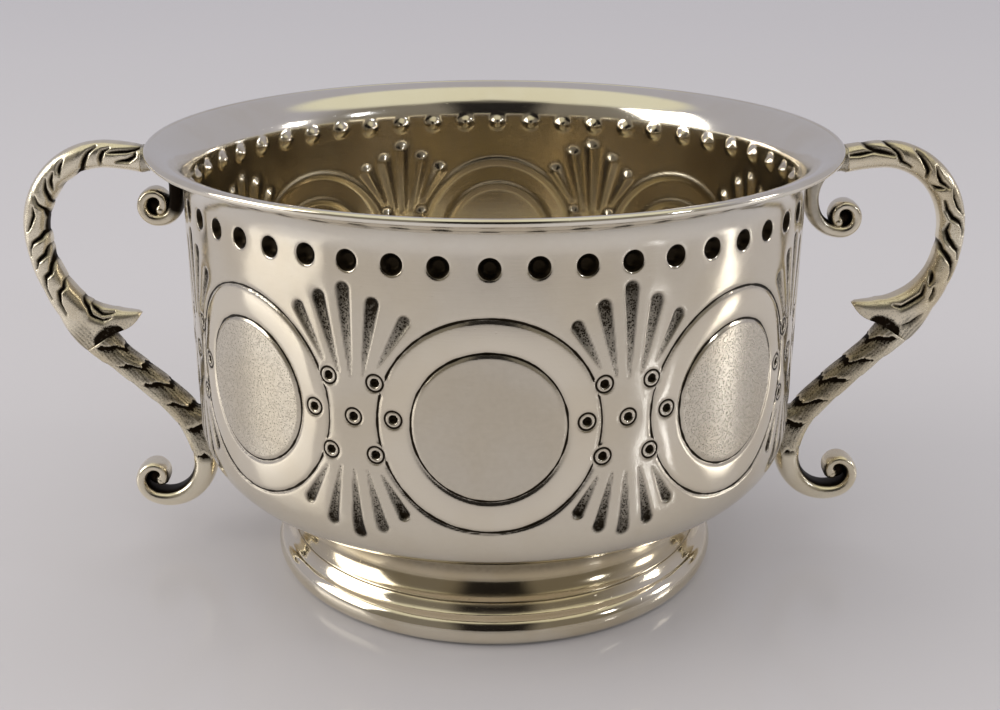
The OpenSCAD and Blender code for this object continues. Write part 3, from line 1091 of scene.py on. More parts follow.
@dataclass
class TurnedRings:
    """The rim wire and the foot: all the plain rings that are turned round the axis.

    Attributes:
        columns: Points round a ring.
        edge: Length of a broken corner.
        step: Distance between the points of an outline.
        wire_play: How much thinner the rim wire is drawn than its solid.
        skirt_r: Radius of the collet at the bottom.
        collet_r: Radius of the collet at its neck, with its thickness.
        cove_r: Radius of the collet's cove, with the height of its centre.
        cove_foot: Depth of the cove from its centre to the skirt, in radii.
        foot_h: Height of the collet.
        base_c: Centre of the base wire, with its radius.
        base_gap: Gap between base wire and collet.
        run_on: Angle where the base wire starts to run up to the collet, in degrees.
        solder_leg: Leg of the solder fillet.
        floor_rise: Slope of the bowl's floor above the collet.
    """

    columns: int = 480
    edge: float = 0.07
    step: float = 0.35
    wire_play: float = 0.005
    skirt_r: float = 31.8
    collet_r: float = 30.1
    collet_t: float = 1.0
    cove_r: float = 4.7
    cove_z: float = 9.61
    cove_foot: float = 0.769
    foot_h: float = 13.88
    base_c: tuple[float, float] = (32.05, 2.3)
    base_r: float = 2.4
    base_gap: float = 0.03
    run_on: float = 65.0
    solder_leg: float = 0.8
    floor_rise: float = 0.196

    def build(self) -> None:
        """Builds the rings."""
        rim_c = (RIM_R - FORM.wire_r, CUP_H - FORM.wire_r)
        rim = arc(rim_c, FORM.wire_r - self.wire_play, 0, 345, 24)
        collet, base = self._collet(), self._base()
        plain, solder = Finishes.PLAIN, Finishes.SOLDER
        self._turn("rim_wire_drawn", "rim_wire", plain, rim, soot=0.0, sway=0.02)
        self._turn("foot_collet_raised", "foot_collet", plain, collet, self._collet_shade(collet), sway=0.03)
        self._turn("base_wire_half_round", "base_wire", plain, base, self._base_shade(base), sway=0.02)
        self._turn("foot_solder_fillet", "foot_solder", solder, self._solder(), soot=0.35, sway=0.0)

    def _turn(
        self, name: str, node: str, finish: Finishes, outline: Array, soot: Array | float, sway: float
    ) -> None:
        """Turns a closed outline round the axis.

        Args:
            name: Name of the piece.
            node: The solid that it stands for.
            finish: Its finish.
            outline: Closed outline (r, z).
            soot: Darkness of each point of the outline: painted shade on the foot, darker solder at its
                joint.
            sway: Unevenness of the radius, always inwards.
        """
        a = 2 * np.pi * np.arange(self.columns)[None] / self.columns
        r, z = outline[:, :1] + 0 * a, outline[:, 1:] + 0 * a
        wave = 0.5 + 0.17 * (np.sin(7 * a + 0.6 * z) + np.sin(11 * a + 1.1 - 0.4 * z) + np.sin(17 * a + 2.0))
        r = r - sway * wave
        height = outline[:, 1:]
        on_foot = height < 20.0
        layers = {"soot": soot, "tarnish": (0.35 + 0.45 * ease(4.0, 7.0, height)) * on_foot}
        maker = MeshMaker()
        maker.lattice(np.stack([r * np.sin(a), -r * np.cos(a), z], -1), layers, (0, 0, 1, 1), closed=True)
        settle(maker.build(name), node, finish)

    def _fine(self, corners: Array) -> Array:
        """Splits the sides of a closed outline and breaks its corners.

        Args:
            corners: Corners of the outline.

        Returns:
            Points of the finer outline.
        """
        out = []
        for p, q in zip(corners, np.roll(corners, -1, axis=0)):
            size = float(np.linalg.norm(q - p))
            if size < 3 * self.edge:
                out.append(((p + q) / 2)[None])
                continue
            count = max(2, int(size / self.step))
            t = np.linspace(self.edge / size, 1 - self.edge / size, count)[:, None]
            out.append(p + (q - p) * t)
        return np.concatenate(out)

    def _collet(self) -> Array:
        """Gives the outline of the collet.

        Returns:
            Points (r, z).
        """
        cove_c = (self.collet_r + self.cove_r, self.cove_z)
        end = math.degrees(math.acos(1 - (self.skirt_r - self.collet_r) / self.cove_r))
        inner_top = [self.collet_r - self.collet_t, self.foot_h - self.floor_rise * self.collet_t]
        corners = np.concatenate([
            [[self.skirt_r, 0]],
            arc(cove_c, self.cove_r, 180 + end, 180, 26),
            [[self.collet_r, self.foot_h], inner_top],
            arc(cove_c, self.cove_r + self.collet_t, 180, 180 + end, 26),
            [[self.skirt_r - self.collet_t, 0]],
        ])
        return self._fine(corners)

    @staticmethod
    def _collet_shade(outline: Array) -> Array:
        """Paints shade inside the collet and in its corners, and a dark reflection in the hollow of its cove.

        Args:
            outline: Points (r, z).

        Returns:
            The darkness of each point.
        """
        r, z = outline[:, :1], outline[:, 1:]
        # Painted shade inside and at the joints, and a painted dark reflection up the cove and neck
        corners = 0.4 * bell(z - 13.6, 0.5) + 0.25 * (r < 30.0) + 0.1 * bell(z - 6.0, 0.2)
        return corners + 0.45 * ease(9.0, 10.5, z) + 0.1 * ease(4.0, 6.0, z)

    def _base(self) -> Array:
        """Gives the outline of the base wire.

        Returns:
            Points (r, z).
        """
        low = math.degrees(math.asin(-self.base_c[1] / self.base_r))
        wire = arc(self.base_c, self.base_r, low, self.run_on, 50)
        start, end = vec(self.skirt_r + self.base_gap, self.cove_z - self.cove_r * self.cove_foot), wire[-1]
        pull, push = start + vec(0.37, -0.34), end + vec(-0.46, 0.36)
        flow = bezier(end, push, pull, start, np.linspace(0, 1, 14)[1:, None])
        return self._fine(np.concatenate([wire, flow, [[self.skirt_r, 0]]]))

    @staticmethod
    def _base_shade(outline: Array) -> Array:
        """Paints shade on the top of the base wire against the collet and on its underside by the floor."""
        z = outline[:, 1:]
        return 0.1 * bell(z - 6.0, 0.2) + 0.5 * (1 - ease(0.1, 0.5, z))

    def _solder(self) -> Array:
        """Gives the outline of the solder fillet.

        Returns:
            Points (r, z).
        """
        far, low = self.collet_r + self.solder_leg, self.foot_h - self.solder_leg
        top = [[far, self.foot_h + self.floor_rise * self.solder_leg], [self.collet_r, self.foot_h]]
        return np.concatenate([arc((far, low), self.solder_leg, 180, 90, 12), top])


# Handles


@dataclass
class Bar:
    """A cast bar swept along a path in the plane of the handle.

    The thickness to the left and right of the path, the half width and the
    squareness of the section are tables over the place along the path, where places
    count its curves. A curl, where there is one, follows the last curve and is given
    by its eye and its radii below and beside the eye.

    Attributes:
        curves: Start, two handles and end of each curve.
        left_t: Thickness to the left of the path.
        right_t: Thickness to the right of the path.
        half_w: Half width.
        start_dir: Direction of the path at its start.
        fit: Moves the points off the neighbouring pieces.
        curl: Eye of the curl and its two radii.
        square: Power that rounds the section; the lower, the squarer.
        sweep: Degrees that the curl turns through.
        round_by: Share of the curl after which its radius is even.
        tighten: Share by which its end is drawn in.
        bulb_w: Width of the bulb at its end, in radii of the bulb.
        core_share: Radius of the black core painted as shade in the eye of the curl, in radii of the curl,
            with its half width.
        ring: Points round the bar.
        step: Distance between the rings.
    """

    curves: Sequence[Sequence[Array]]
    left_t: Table
    right_t: Table
    half_w: Table
    start_dir: Array
    fit: Callable[[Array], Array]
    curl: tuple[Array, float, float] | None = None
    square: Table = ((0, 0.86),)
    sweep: float = 308.0
    round_by: float = 0.62
    tighten: float = 0.52
    bulb_w: float = 1.75
    core_share: float = 0.85
    core_half_w: float = 1.2
    ring: int = 96
    step: float = 0.16

    def __post_init__(self) -> None:
        """Samples the path evenly and lays the plain rings round it."""
        places, points = self._path()
        length = np.concatenate([[0], np.cumsum(np.linalg.norm(np.diff(points, axis=0), axis=1))])
        self.along = np.linspace(0, length[-1], int(length[-1] / self.step) + 1)
        self.place = np.interp(self.along, length, places)[:, None]
        self.along = self.along[:, None]
        self.centre = np.stack([np.interp(self.along[:, 0], length, points[:, k]) for k in (0, 1)], -1)
        heading = np.gradient(self.centre, axis=0)
        heading[0] = self.start_dir
        heading /= np.linalg.norm(heading, axis=1, keepdims=True)
        self.left = np.stack([-heading[:, 1], heading[:, 0]], -1)
        angle = 2 * np.pi * np.arange(self.ring)[None] / self.ring
        square = self._table(self.square)
        self.across = np.sign(np.cos(angle)) * np.abs(np.cos(angle)) ** square
        self.face = np.sign(np.sin(angle)) * np.abs(np.sin(angle)) ** square
        self.thick = np.where(self.across > 0, self._table(self.left_t), self._table(self.right_t))
        self.wide = self._table(self.half_w)
        self.offset = self.across * self.thick

    def _path(self) -> tuple[Array, Array]:
        """Gives finely sampled places and points along the path.

        Returns:
            The places and the points.
        """
        t = np.linspace(0, 1, 90)[:, None]
        places, points = [], []
        for k, (a, b, c, d) in enumerate(self.curves):
            run = bezier(a, b, c, d, t)
            cut = slice(0, None) if k == 0 else slice(1, None)
            places.append(k + t[cut, 0])
            points.append(run[cut])
        if self.curl is not None:
            eye, below, beside = self.curl
            t = np.linspace(0, 1, 240)[1:, None]
            angle = np.radians(270 + self.sweep * t)
            drop = (below - beside) * np.maximum(0, 1 - t / self.round_by) ** 2
            reach = beside * (1 - self.tighten * ease(0.5, 1.0, t)) + drop
            places.append(len(self.curves) + t[:, 0])
            points.append(np.asarray(eye) + reach * np.concatenate([np.cos(angle), np.sin(angle)], axis=1))
        return np.concatenate(places), np.concatenate(points)

    def _table(self, table: Table) -> Array:
        """Looks a table up at every place."""
        keys, values = zip(*table)
        return np.interp(self.place, keys, values)

    def plane(self) -> Array:
        """Gives the uncarved surface in the plane of the handle."""
        return self.centre[:, None] + self.left[:, None] * self.offset[..., None]

    def surface(self, depth: Array | float) -> Array:
        """Gives the surface after carving.

        Args:
            depth: How deep each point is carved towards the middle of the bar.

        Returns:
            Points (x, y, z) by row and column.
        """
        across, face = self.offset, self.wide * self.face
        reach = np.hypot(across, face)
        keep = 1 - np.minimum(depth, 0.7 * reach) / np.maximum(reach, 1e-6)
        flat = self.centre[:, None] + self.left[:, None] * (across * keep)[..., None]
        return self.fit(np.stack([flat[..., 0], face * keep, flat[..., 1]], -1))

    def build(
        self, name: str, side: Side, depth: Array | float, soot: Array, mat: Array, bulb_r: float = 0.0
    ) -> bpy.types.Object:
        """Makes the object.

        Args:
            name: Name of the object.
            side: Side of the cup.
            depth: How deep each point is carved.
            soot: Darkness: painted shade in the recesses, and some dirt.
            mat: Amount of matting.
            bulb_r: Radius of the bulb at the end of the curl, or 0.

        Returns:
            The new object.
        """
        flip = np.array([side.value, 1, 1])
        points = self.surface(depth) * flip
        maker = MeshMaker()
        index = maker.lattice(points, {"soot": soot, "mat": mat}, (0, 0, 1, 0.9))
        maker.cap(index[0], points[0].mean(axis=0), {"soot": 0.6}, (0.01, 0.92, 0.07, 0.99), last=False)
        maker.cap(index[-1], points[-1].mean(axis=0), {"soot": 0.5}, (0.1, 0.92, 0.16, 0.99), last=True)
        if bulb_r and self.curl is not None:
            (eye_x, eye_z), _, beside = self.curl
            bulb = np.array([self.centre[-1, 0], 0, self.centre[-1, 1]]) * flip
            maker.ball(bulb, (bulb_r, self.bulb_w * bulb_r, bulb_r), 0.0, (0.2, 0.92, 0.55, 0.99))
            # A black ball fills the eye of the curl as painted shade
            core, core_r = np.array([eye_x, 0, eye_z]) * flip, self.core_share * beside
            maker.ball(core, (core_r, self.core_half_w, core_r), 1.5, (0.6, 0.92, 0.95, 0.99))
        return maker.build(name)


@dataclass(frozen=True)
class Casting:
    """Sizes that differ between the two handles, and where each was worked.

    Attributes:
        spur_in: Distance from the outside of the arm in to the spur's root.
        spur_h: Height of the spur's tip.
        curl_out: Distance from the wall to the eye of the lower curl.
        curl_h: Height of the eye of the lower curl.
        volute_out: Distance from the wall to the eye of the volute.
        volute_drop: Distance from the top of the rim down to that eye.
        strip_shade: Painted shade on the strip above the volute.
        bands: Where the scales of the stem end, along its path.
        cuts: Grooves between the leaf folds: half width, then places (along, across).
    """

    spur_in: float
    spur_h: float
    curl_out: float
    curl_h: float
    volute_out: float
    volute_drop: float
    strip_shade: float
    bands: tuple[float, ...]
    cuts: tuple[tuple[float, tuple[tuple[float, float], ...]], ...]


RIGHT_CASTING = Casting(
    spur_in=6.3, spur_h=39.6, curl_out=9.4, curl_h=12.1, volute_out=6.8, volute_drop=12.4, strip_shade=0.4,
    bands=(-4.0, 0.5, 5.6, 10.0, 15.0, 19.6, 25.0, 32.0),
    cuts=(
        (0.5, ((2.5, 2.0), (4.0, 1.1), (5.6, 0.6), (6.7, 0.2))),
        (0.28, ((0.0, 0.9), (1.7, 0.8), (3.0, 0.9), (4.0, 0.9))),
        (0.3, ((5.0, 2.2), (6.2, 1.5), (7.1, 0.7), (7.5, 0.0), (8.0, -0.7), (9.7, -1.0))),
        (0.4, ((9.5, 1.6), (10.4, 1.2), (11.2, 0.6), (12.3, -0.1), (12.8, -1.1))),
        (0.3, ((13.0, 1.1), (14.1, 0.3), (15.1, 0.0), (16.5, 0.6))),
        (0.22, ((14.5, -1.4), (15.4, -1.1), (16.2, -0.1))),
        (0.35, ((18.0, -0.9), (19.6, -1.0), (21.0, -0.4), (21.9, 0.9), (22.9, 1.4), (23.8, 1.4))),
        (0.4, ((21.9, -0.9), (23.1, -1.4), (24.4, -0.9), (25.5, 0.3), (26.1, 1.2), (27.4, 1.6))),
        (0.4, ((24.9, -2.0), (26.3, -1.5), (27.2, -0.3), (28.1, 0.8), (29.2, 1.4), (30.4, 1.6))),
        (0.3, ((30.2, -1.6), (31.2, -1.1), (32.2, -0.7))),
        (0.25, ((32.2, 0.2), (32.9, 0.9), (33.9, 1.2))),
        (0.35, ((32.8, -1.2), (34.2, -0.3), (36.0, -0.3), (37.8, -0.2), (38.8, -0.9))),
        (0.25, ((16.9, 1.2), (18.2, 0.7), (19.6, 0.8), (21.0, 1.6))),
        (0.3, ((38.6, 3.0), (37.3, 3.2), (35.6, 2.6))),
    ),
)
LEFT_CASTING = Casting(
    spur_in=6.9, spur_h=38.0, curl_out=8.8, curl_h=10.9, volute_out=5.1, volute_drop=10.6, strip_shade=1.2,
    bands=(-4.0, 0.5, 5.0, 9.4, 14.2, 19.0, 24.2, 31.0),
    cuts=(
        (0.3, ((0.9, 1.4), (0.9, 0.6), (1.7, -0.3), (3.5, -0.8))),
        (0.28, ((0.1, 2.0), (2.0, 1.2), (4.7, 0.6))),
        (0.3, ((4.6, 1.3), (5.4, 0.8), (5.8, -0.2), (6.0, -1.4))),
        (0.34, ((6.4, 1.5), (7.5, 0.8), (8.4, -0.5), (9.3, -1.7), (11.0, -2.1))),
        (0.28, ((11.2, 1.0), (12.1, 0.4), (13.0, -0.6))),
        (0.25, ((13.4, 0.4), (14.5, -0.2), (15.6, -1.3))),
        (0.32, ((14.9, 0.6), (16.2, -0.4), (17.1, -1.4), (18.5, -2.4))),
        (0.25, ((12.8, -2.1), (14.7, -2.2), (15.6, -2.6))),
        (0.36, (
            (18.0, 0.7), (18.9, -0.2), (19.4, -1.6), (20.8, -2.1), (23.1, -2.0), (24.2, -1.0),
            (24.9, 0.5), (25.8, 1.2), (26.8, 1.3),
        )),
        (0.28, ((19.6, 0.5), (20.8, 0.1), (22.4, 0.6), (23.1, 1.0))),
        (0.32, ((25.5, -1.9), (27.0, -1.1), (27.7, 0.5), (28.7, 1.2))),
        (0.34, ((26.0, -2.3), (28.3, -1.8), (29.9, -0.8), (30.3, 0.5), (31.7, 1.4), (33.4, 1.7))),
        (0.32, ((31.9, -1.9), (33.0, -1.2), (33.2, -0.1), (34.5, 1.1), (36.1, 1.7))),
        (0.32, ((36.3, -2.0), (38.2, -1.4), (39.2, -0.4), (41.0, -0.1), (42.2, -0.7))),
        (0.26, ((38.2, -1.9), (39.7, -1.6), (40.8, -1.2), (42.8, -1.5))),
    ),
)


@dataclass
class Handle:
    """One handle: the leaf scroll, the scaled stem and the volute under the lip.

    Attributes:
        side: Side of the cup.
        casting: What differs between the two sides.
        arm_z: Height where the arm leaves the rim, with its thickness and width.
        arm_out: Distance from the rim to the joint of scroll and volute.
        arm_rise: Rise of the arm from there to its crown.
        reach: Distance from the axis to the middle of the bow.
        bow_w: Distance from the crown out to the bow, with that down to it.
        spur_len: Length of the spur, with the depth of its belly.
        seam_slope: Slope of the seam under the spur in degrees, with its width.
        pocket_h: Height of the painted shadow in the pocket at the seam, with its middle and half length.
        groove_depth: Depth of the cuts between the leaf folds.
        hollow_depth: Depth of the soft hollow beside a cut, with its outer and inner width.
        vein_depth: Depth of the veins beside a cut, with their distance.
        stem_t: Thickness of the stem.
        seat_out: Distance from the wall to the stem at its seat, with the drop from the corner.
        knee_in: Distance from the lower curl's eye in to the knee, with that up, in its radii.
        scale_depth: Depth of a scale's step, with that of its fibres.
        curl_r: Radius of the lower curl below its eye, with those beside it and of its bulb.
        volute_r: Radius of the volute below its eye, with those beside it and of its bulb.
        strip_t: Thickness of the curled strips.
        gap: Clearance between the castings and the bowl.
    """

    side: Side
    casting: Casting
    arm_z: float = 62.0
    arm_t: float = 4.0
    arm_w: float = 4.6
    arm_out: float = 1.6
    arm_rise: float = 0.7
    reach: float = 68.3
    bow_w: float = 11.0
    bow_h: float = 11.7
    spur_len: float = 7.6
    spur_belly: float = 0.75
    seam_slope: float = 34.0
    seam_w: float = 5.5
    pocket_h: float = 1.7
    pocket_out: float = 0.9
    pocket_half: float = 2.6
    groove_depth: float = 0.6
    hollow_depth: float = 0.22
    hollow_out: float = 0.85
    hollow_in: float = 0.4
    vein_depth: float = 0.07
    vein_gap: float = 0.66
    stem_t: float = 4.2
    seat_out: float = 3.5
    seat_drop: float = 3.3
    knee_in: float = 2.286
    knee_up: float = 0.843
    scale_depth: float = 0.36
    fibre_depth: float = 0.1
    curl_r: float = 3.5
    curl_end_r: float = 1.9
    curl_bulb_r: float = 1.1
    volute_r: float = 2.1
    volute_end_r: float = 1.95
    volute_bulb_r: float = 1.15
    strip_t: float = 2.3
    gap: float = 0.02

    def __post_init__(self) -> None:
        """Works out the points that the three castings share."""
        self.arm_start = vec(RIM_R + self.arm_out, self.arm_z)
        self.crown = vec(self.reach - self.bow_w, self.arm_start[1] + self.arm_rise)
        self.arm_side = vec(self.reach, self.crown[1] - self.bow_h)
        self.tip = vec(self.reach - self.casting.spur_in - self.spur_len, self.casting.spur_h)
        self.root = self.tip + vec(self.spur_len, 0)
        self.seam_root = self.root - vec(0.42 * self.spur_len, 0.69 * self.arm_t)
        slope = math.radians(self.seam_slope)
        self.seam_dir = vec(math.cos(slope), -math.sin(slope))
        self.seam_up = vec(math.sin(slope), math.cos(slope))

    def _above_seam(self, p: Array) -> Array:
        """Keeps points of the scroll above its seam with the stem and gives the spur a belly.

        Args:
            p: Points (x, y, z).

        Returns:
            The points, moved where they were too low.
        """
        flat = p[..., [0, 2]] - self.seam_root
        inward = np.clip(-(flat @ self.seam_dir) / (0.68 * self.spur_len), 0, 1)
        rounded = np.sqrt(np.maximum(0, 1 - (2 * p[..., 1] / self.arm_w) ** 2))
        depth = np.minimum(0, flat @ self.seam_up + self.spur_belly * np.sin(np.pi * inward) * rounded)
        return p - depth[..., None] * np.array([self.seam_up[0], 0, self.seam_up[1]])

    def _off_wall(self, p: Array) -> Array:
        """Keeps points off the outside of the bowl.

        Args:
            p: Points (x, y, z).

        Returns:
            The points, moved where they were too near.
        """
        under = np.maximum(0, FORM.corner_z - p[..., 2])
        bulge = np.sqrt(np.maximum(0, FORM.corner_r**2 - under**2))
        r = FORM.wall_r - FORM.corner_r + bulge + self.gap
        x = np.maximum(p[..., 0], np.sqrt(np.maximum(0, r**2 - p[..., 1] ** 2)))
        return np.stack([x, p[..., 1], p[..., 2]], -1)

    def _under_lip(self, p: Array) -> Array:
        """Keeps points off the wall and under the lip.

        Args:
            p: Points (x, y, z).

        Returns:
            The points, moved where they were too near.
        """
        q = self._off_wall(p)
        r = np.hypot(q[..., 0], q[..., 1])
        short = np.maximum(0, FORM.wall_r + FORM.lip_r - r)
        rise = np.sqrt(np.maximum(0, FORM.lip_r**2 - short**2))
        wire_low = CUP_H - 2 * FORM.wire_r
        under = np.minimum(FORM.lip_z + rise, wire_low) - self.gap
        z = np.where(r > RIM_R + self.arm_out / 2, q[..., 2], np.minimum(q[..., 2], under))
        return np.stack([q[..., 0], q[..., 1], z], -1)

    def build(self) -> None:
        """Builds the three castings."""
        self._scroll()
        self._stem()
        self._volute()

    def _label(self, part: str) -> str:
        """Gives the name of a part on this side."""
        return f"{self.side.name.lower()}_{part}"

    def _cuts(self, along: Array, across: Array) -> tuple[Array, Array, Array]:
        """Works out how near each point lies to the grooves of the leaf folds.

        Args:
            along: Length along the path.
            across: Distance across it, outwards positive.

        Returns:
            The groove itself, the soft hollow that falls to it and the fine veins beside
            it, all from 0 to 1.
        """
        groove, hollow, veins = 0 * across, 0 * across, 0 * across
        for half, places in self.casting.cuts:
            line = np.asarray(places)
            size = np.linalg.norm(np.diff(line, axis=0), axis=1)
            run = np.concatenate([[0], np.cumsum(size)]) / size.sum()
            for p, q, t0, t1 in zip(line[:-1], line[1:], run[:-1], run[1:]):
                d = q - p
                t = np.clip(((along - p[0]) * d[0] + (across - p[1]) * d[1]) / (d @ d), 0, 1)
                away = np.hypot(along - p[0] - t * d[0], across - p[1] - t * d[1])
                swell = np.sin(np.pi * np.clip(0.08 + 0.84 * (t0 + (t1 - t0) * t), 0, 1))
                groove = np.maximum(groove, (0.45 + 0.55 * swell) * bell(away, half * (0.42 + 0.4 * swell)))
                outward = (across - p[1]) * d[0] > (along - p[0]) * d[1]
                soft = swell * bell(away, np.where(outward, self.hollow_out, self.hollow_in))
                ripple = 0.5 - 0.5 * np.cos(2 * np.pi * away / self.vein_gap)
                veins = np.where(soft > hollow, ripple, veins)
                hollow = np.maximum(hollow, soft)
        return groove, hollow, veins * hollow * (1 - groove)

    def _scroll(self) -> None:
        """Builds the leaf scroll from its joint under the rim to the tip of its spur."""
        # Length of the handles that make a curve a quarter round
        q = 4 / 3 * (math.sqrt(2) - 1)
        a, crown, side, root, tip = self.arm_start, self.crown, self.arm_side, self.root, self.tip
        # Half the thickness and width of the arm, and the size of the spur's point
        t, w, point = self.arm_t / 2, self.arm_w / 2, self.arm_t / 16
        bar = Bar(
            curves=[
                [a, a + vec(self.arm_out, self.arm_rise / 2), crown - vec(self.arm_out, 0), crown],
                [crown, crown + vec(q * self.bow_w, 0), side + vec(0, q * self.bow_h), side],
                [side, side - vec(0, self.bow_h / 2), root + self.spur_len * vec(0.53, 0.25), root],
                [root, root - self.spur_len * vec(0.34, 0.16), tip + self.spur_len * vec(0.34, -0.12), tip],
            ],
            left_t=[
                (0, t), (2.2, t), (2.5, 1.15 * t), (2.75, 1.6 * t), (3, 2.8 * t), (3.15, 3.2 * t),
                (3.4, 2.5 * t), (3.6, 1.6 * t), (3.8, 0.95 * t), (3.94, 0.5 * t), (4, point),
            ],
            right_t=[(0, t), (3, t), (3.5, 0.92 * t), (3.8, 0.58 * t), (3.94, 0.36 * t), (4, point)],
            half_w=[(0, w), (3, w), (3.5, 0.84 * w), (3.8, 0.6 * w), (3.94, 0.4 * w), (4, point)],
            start_dir=vec(1.0, 0.0),
            fit=self._above_seam,
            ring=120,
            step=0.13,
        )
        groove, hollow, veins = self._cuts(bar.along, bar.offset)
        edge = np.abs(bar.offset) / np.maximum(bar.thick, 0.1)
        thin = (1 - 0.75 * ease(3.4, 3.9, bar.place)) * (1 - 0.7 * ease(0.78, 1.0, edge))
        depth = self.groove_depth * groove + self.hollow_depth * hollow + self.vein_depth * veins
        depth = depth * thin
        spur = ease(2.9, 3.3, bar.place)
        # Painted shade in the cuts between the leaf folds, fainter in the hollows and veins beside them
        soot = 1.7 * groove**1.3 + 0.08 * hollow + 0.3 * veins
        flat = bar.plane() - self.seam_root
        over, out = flat @ self.seam_up, flat @ self.seam_dir
        # Painted shadow in the pocket between spur and stem, under the leaf's lower edge
        shape = np.sqrt(np.maximum(0.0, 1 - ((out - self.pocket_out) / self.pocket_half) ** 2))
        mouth = self.pocket_h * shape
        pocket = (1 - ease(0.7 * mouth, 1.1 * mouth + 0.05, over)) * (mouth > 0) * ease(2.7, 2.9, bar.place)
        soot = np.maximum(soot, 1.4 * pocket)
        # Fibres at the root of the spur
        fibres = 0.5 + 0.5 * np.sin(9.5 * out + 1.2 * np.sin(1.1 * over))
        root = (1 - ease(2.5, 5.5, over)) * ease(1.5, 3.0, out)
        root = root * ease(2.3, 2.6, bar.place) * (1 - ease(3.1, 3.4, bar.place))
        soot = np.maximum(soot, root * (0.22 + 0.4 * fibres))
        depth = np.maximum(depth, 0.14 * root * fibres * thin)
        mat = (0.2 + 0.4 * spur) * (1 - ease(0.75, 0.95, edge))
        piece = bar.build(self._label("leaf_scroll"), self.side, depth, soot, mat)
        settle(piece, self._label("scroll"), Finishes.CAST)

    def _stem(self) -> None:
        """Builds the scaled stem from the seam past its seat to the lower curl."""
        eye = vec(FORM.wall_r + self.casting.curl_out, self.casting.curl_h)
        start = self.seam_root + self.seam_dir * self.seam_w / 2
        away, seat = -self.seam_up, vec(FORM.wall_r + self.seat_out, FORM.corner_z - self.seat_drop)
        knee = eye + self.curl_r * vec(-self.knee_in, self.knee_up)
        low = eye - vec(0, self.curl_r)
        # Half the seam, half the thickness of stem and strip, half the width, and the curl's radius
        e, t, s, w, k = self.seam_w / 2, self.stem_t / 2, self.strip_t / 2, self.arm_w / 2, self.curl_r
        curl_t = [(3, 1.05 * s), (3.31, 0.8 * s), (3.66, 0.7 * s), (3.82, 0.78 * s), (4, 0.95 * s)]
        bar = Bar(
            curves=[
                [start, start + away * self.stem_t * 0.7, seat + self.stem_t * vec(0.45, 0.76), seat],
                [seat, seat - self.stem_t * vec(0.24, 0.4), knee + vec(0, 0.743 * k), knee],
                [knee, knee - vec(0, 1.2 * k), low - k * vec(1.15, 0.33), low],
            ],
            left_t=[(0, e), (0.3, t), (2, 0.95 * t), *curl_t],
            right_t=[(0, e), (0.3, t), (1, 1.1 * t), (1.25, 2 * t), (1.5, 1.8 * t), (2, 0.9 * t), *curl_t],
            half_w=[(0, w), (3, w), (4, 0.8 * w)],
            start_dir=away,
            fit=self._off_wall,
            curl=(eye, self.curl_r, self.curl_end_r),
            square=[(1.7, 0.86), (2.5, 0.74), (4, 0.74)],
        )
        # The scales end in wavy, slanted bands, and each is sunk where the next one covers it
        angle = np.arctan2(bar.face, bar.across)
        edges = np.asarray(self.casting.bands)
        petals = np.abs(np.sin(2.5 * angle + 0.5 * np.sin(0.7 * bar.along)))
        wander = 0.16 * np.sin(11 * angle + 0.6 * bar.along) + 0.8 * petals - 0.5
        slant = 1.1 * bar.offset * (1 - 0.7 * ease(0.8, 1.4, bar.place))
        placed = np.clip(bar.along + slant + wander, edges[0] + 0.01, edges[-1] - 0.01)
        band = np.searchsorted(edges, placed) - 1
        share = (placed - edges[band]) / (edges[band + 1] - edges[band])
        scaled = 1 - ease(1.8, 2.05, bar.place)
        fibres = 0.5 + 0.5 * np.sin(26 * angle + 3.0 * np.sin(0.8 * bar.along + 1.7 * band) + 1.1 * band)
        step = (1 - share) ** 2.2
        fade = 1 - 0.7 * ease(0.7, 1.0, np.abs(bar.across))
        relief = self.scale_depth * step + self.fibre_depth * fibres * ease(0.05, 0.4, share)
        depth = scaled * fade * relief
        # Painted shadow under the scales' edges, painted shade on the upper side of the stem, mottled, and
        # painted shade inside the curl; dark fibres run along the scales
        upper = ease(-0.6, 0.15, -bar.across)
        blotches = np.sin(7.3 * angle + 2.1 * band + 0.9 * bar.along)
        rough = 0.5 + 0.5 * blotches * np.sin(1.7 * bar.along + 3 * angle)
        edge_shadow = bell(share, 0.05 + 0.11 * upper)
        soot = scaled * (1.4 * edge_shadow + 0.35 * fibres * (1 - share) + 0.08)
        soot = soot + scaled * upper * (0.3 + 0.3 * rough) * (1 - 0.85 * ease(0.84, 0.95, share))
        inner = ease(0.7, 0.9, bar.across) * ease(2.0, 2.3, bar.place)
        coil = 0.6 * ease(0.5, 0.9, -bar.across) * ease(3.72, 3.9, bar.place)
        soot = np.maximum(soot, 1.5 * np.maximum(inner, coil))
        # Painted shadow at the seam, under the spur
        soot = np.maximum(soot, 1.1 * (1 - ease(0.02, 0.16, bar.place)) * ease(0.0, 0.9, -bar.across))
        label, mat = self._label("scaled_stem"), 0.3 * scaled
        piece = bar.build(label, self.side, depth, soot, mat, bulb_r=self.curl_bulb_r)
        settle(piece, self._label("stem"), Finishes.CAST)

    def _volute(self) -> None:
        """Builds the volute that turns down from the arm under the lip."""
        eye = vec(FORM.wall_r + self.casting.volute_out, CUP_H - self.casting.volute_drop)
        neck = vec(FORM.wall_r + 0.9 * self.strip_t, eye[1] + 1.55 * self.volute_r)
        start, low = self.arm_start, eye - vec(0, self.volute_r)
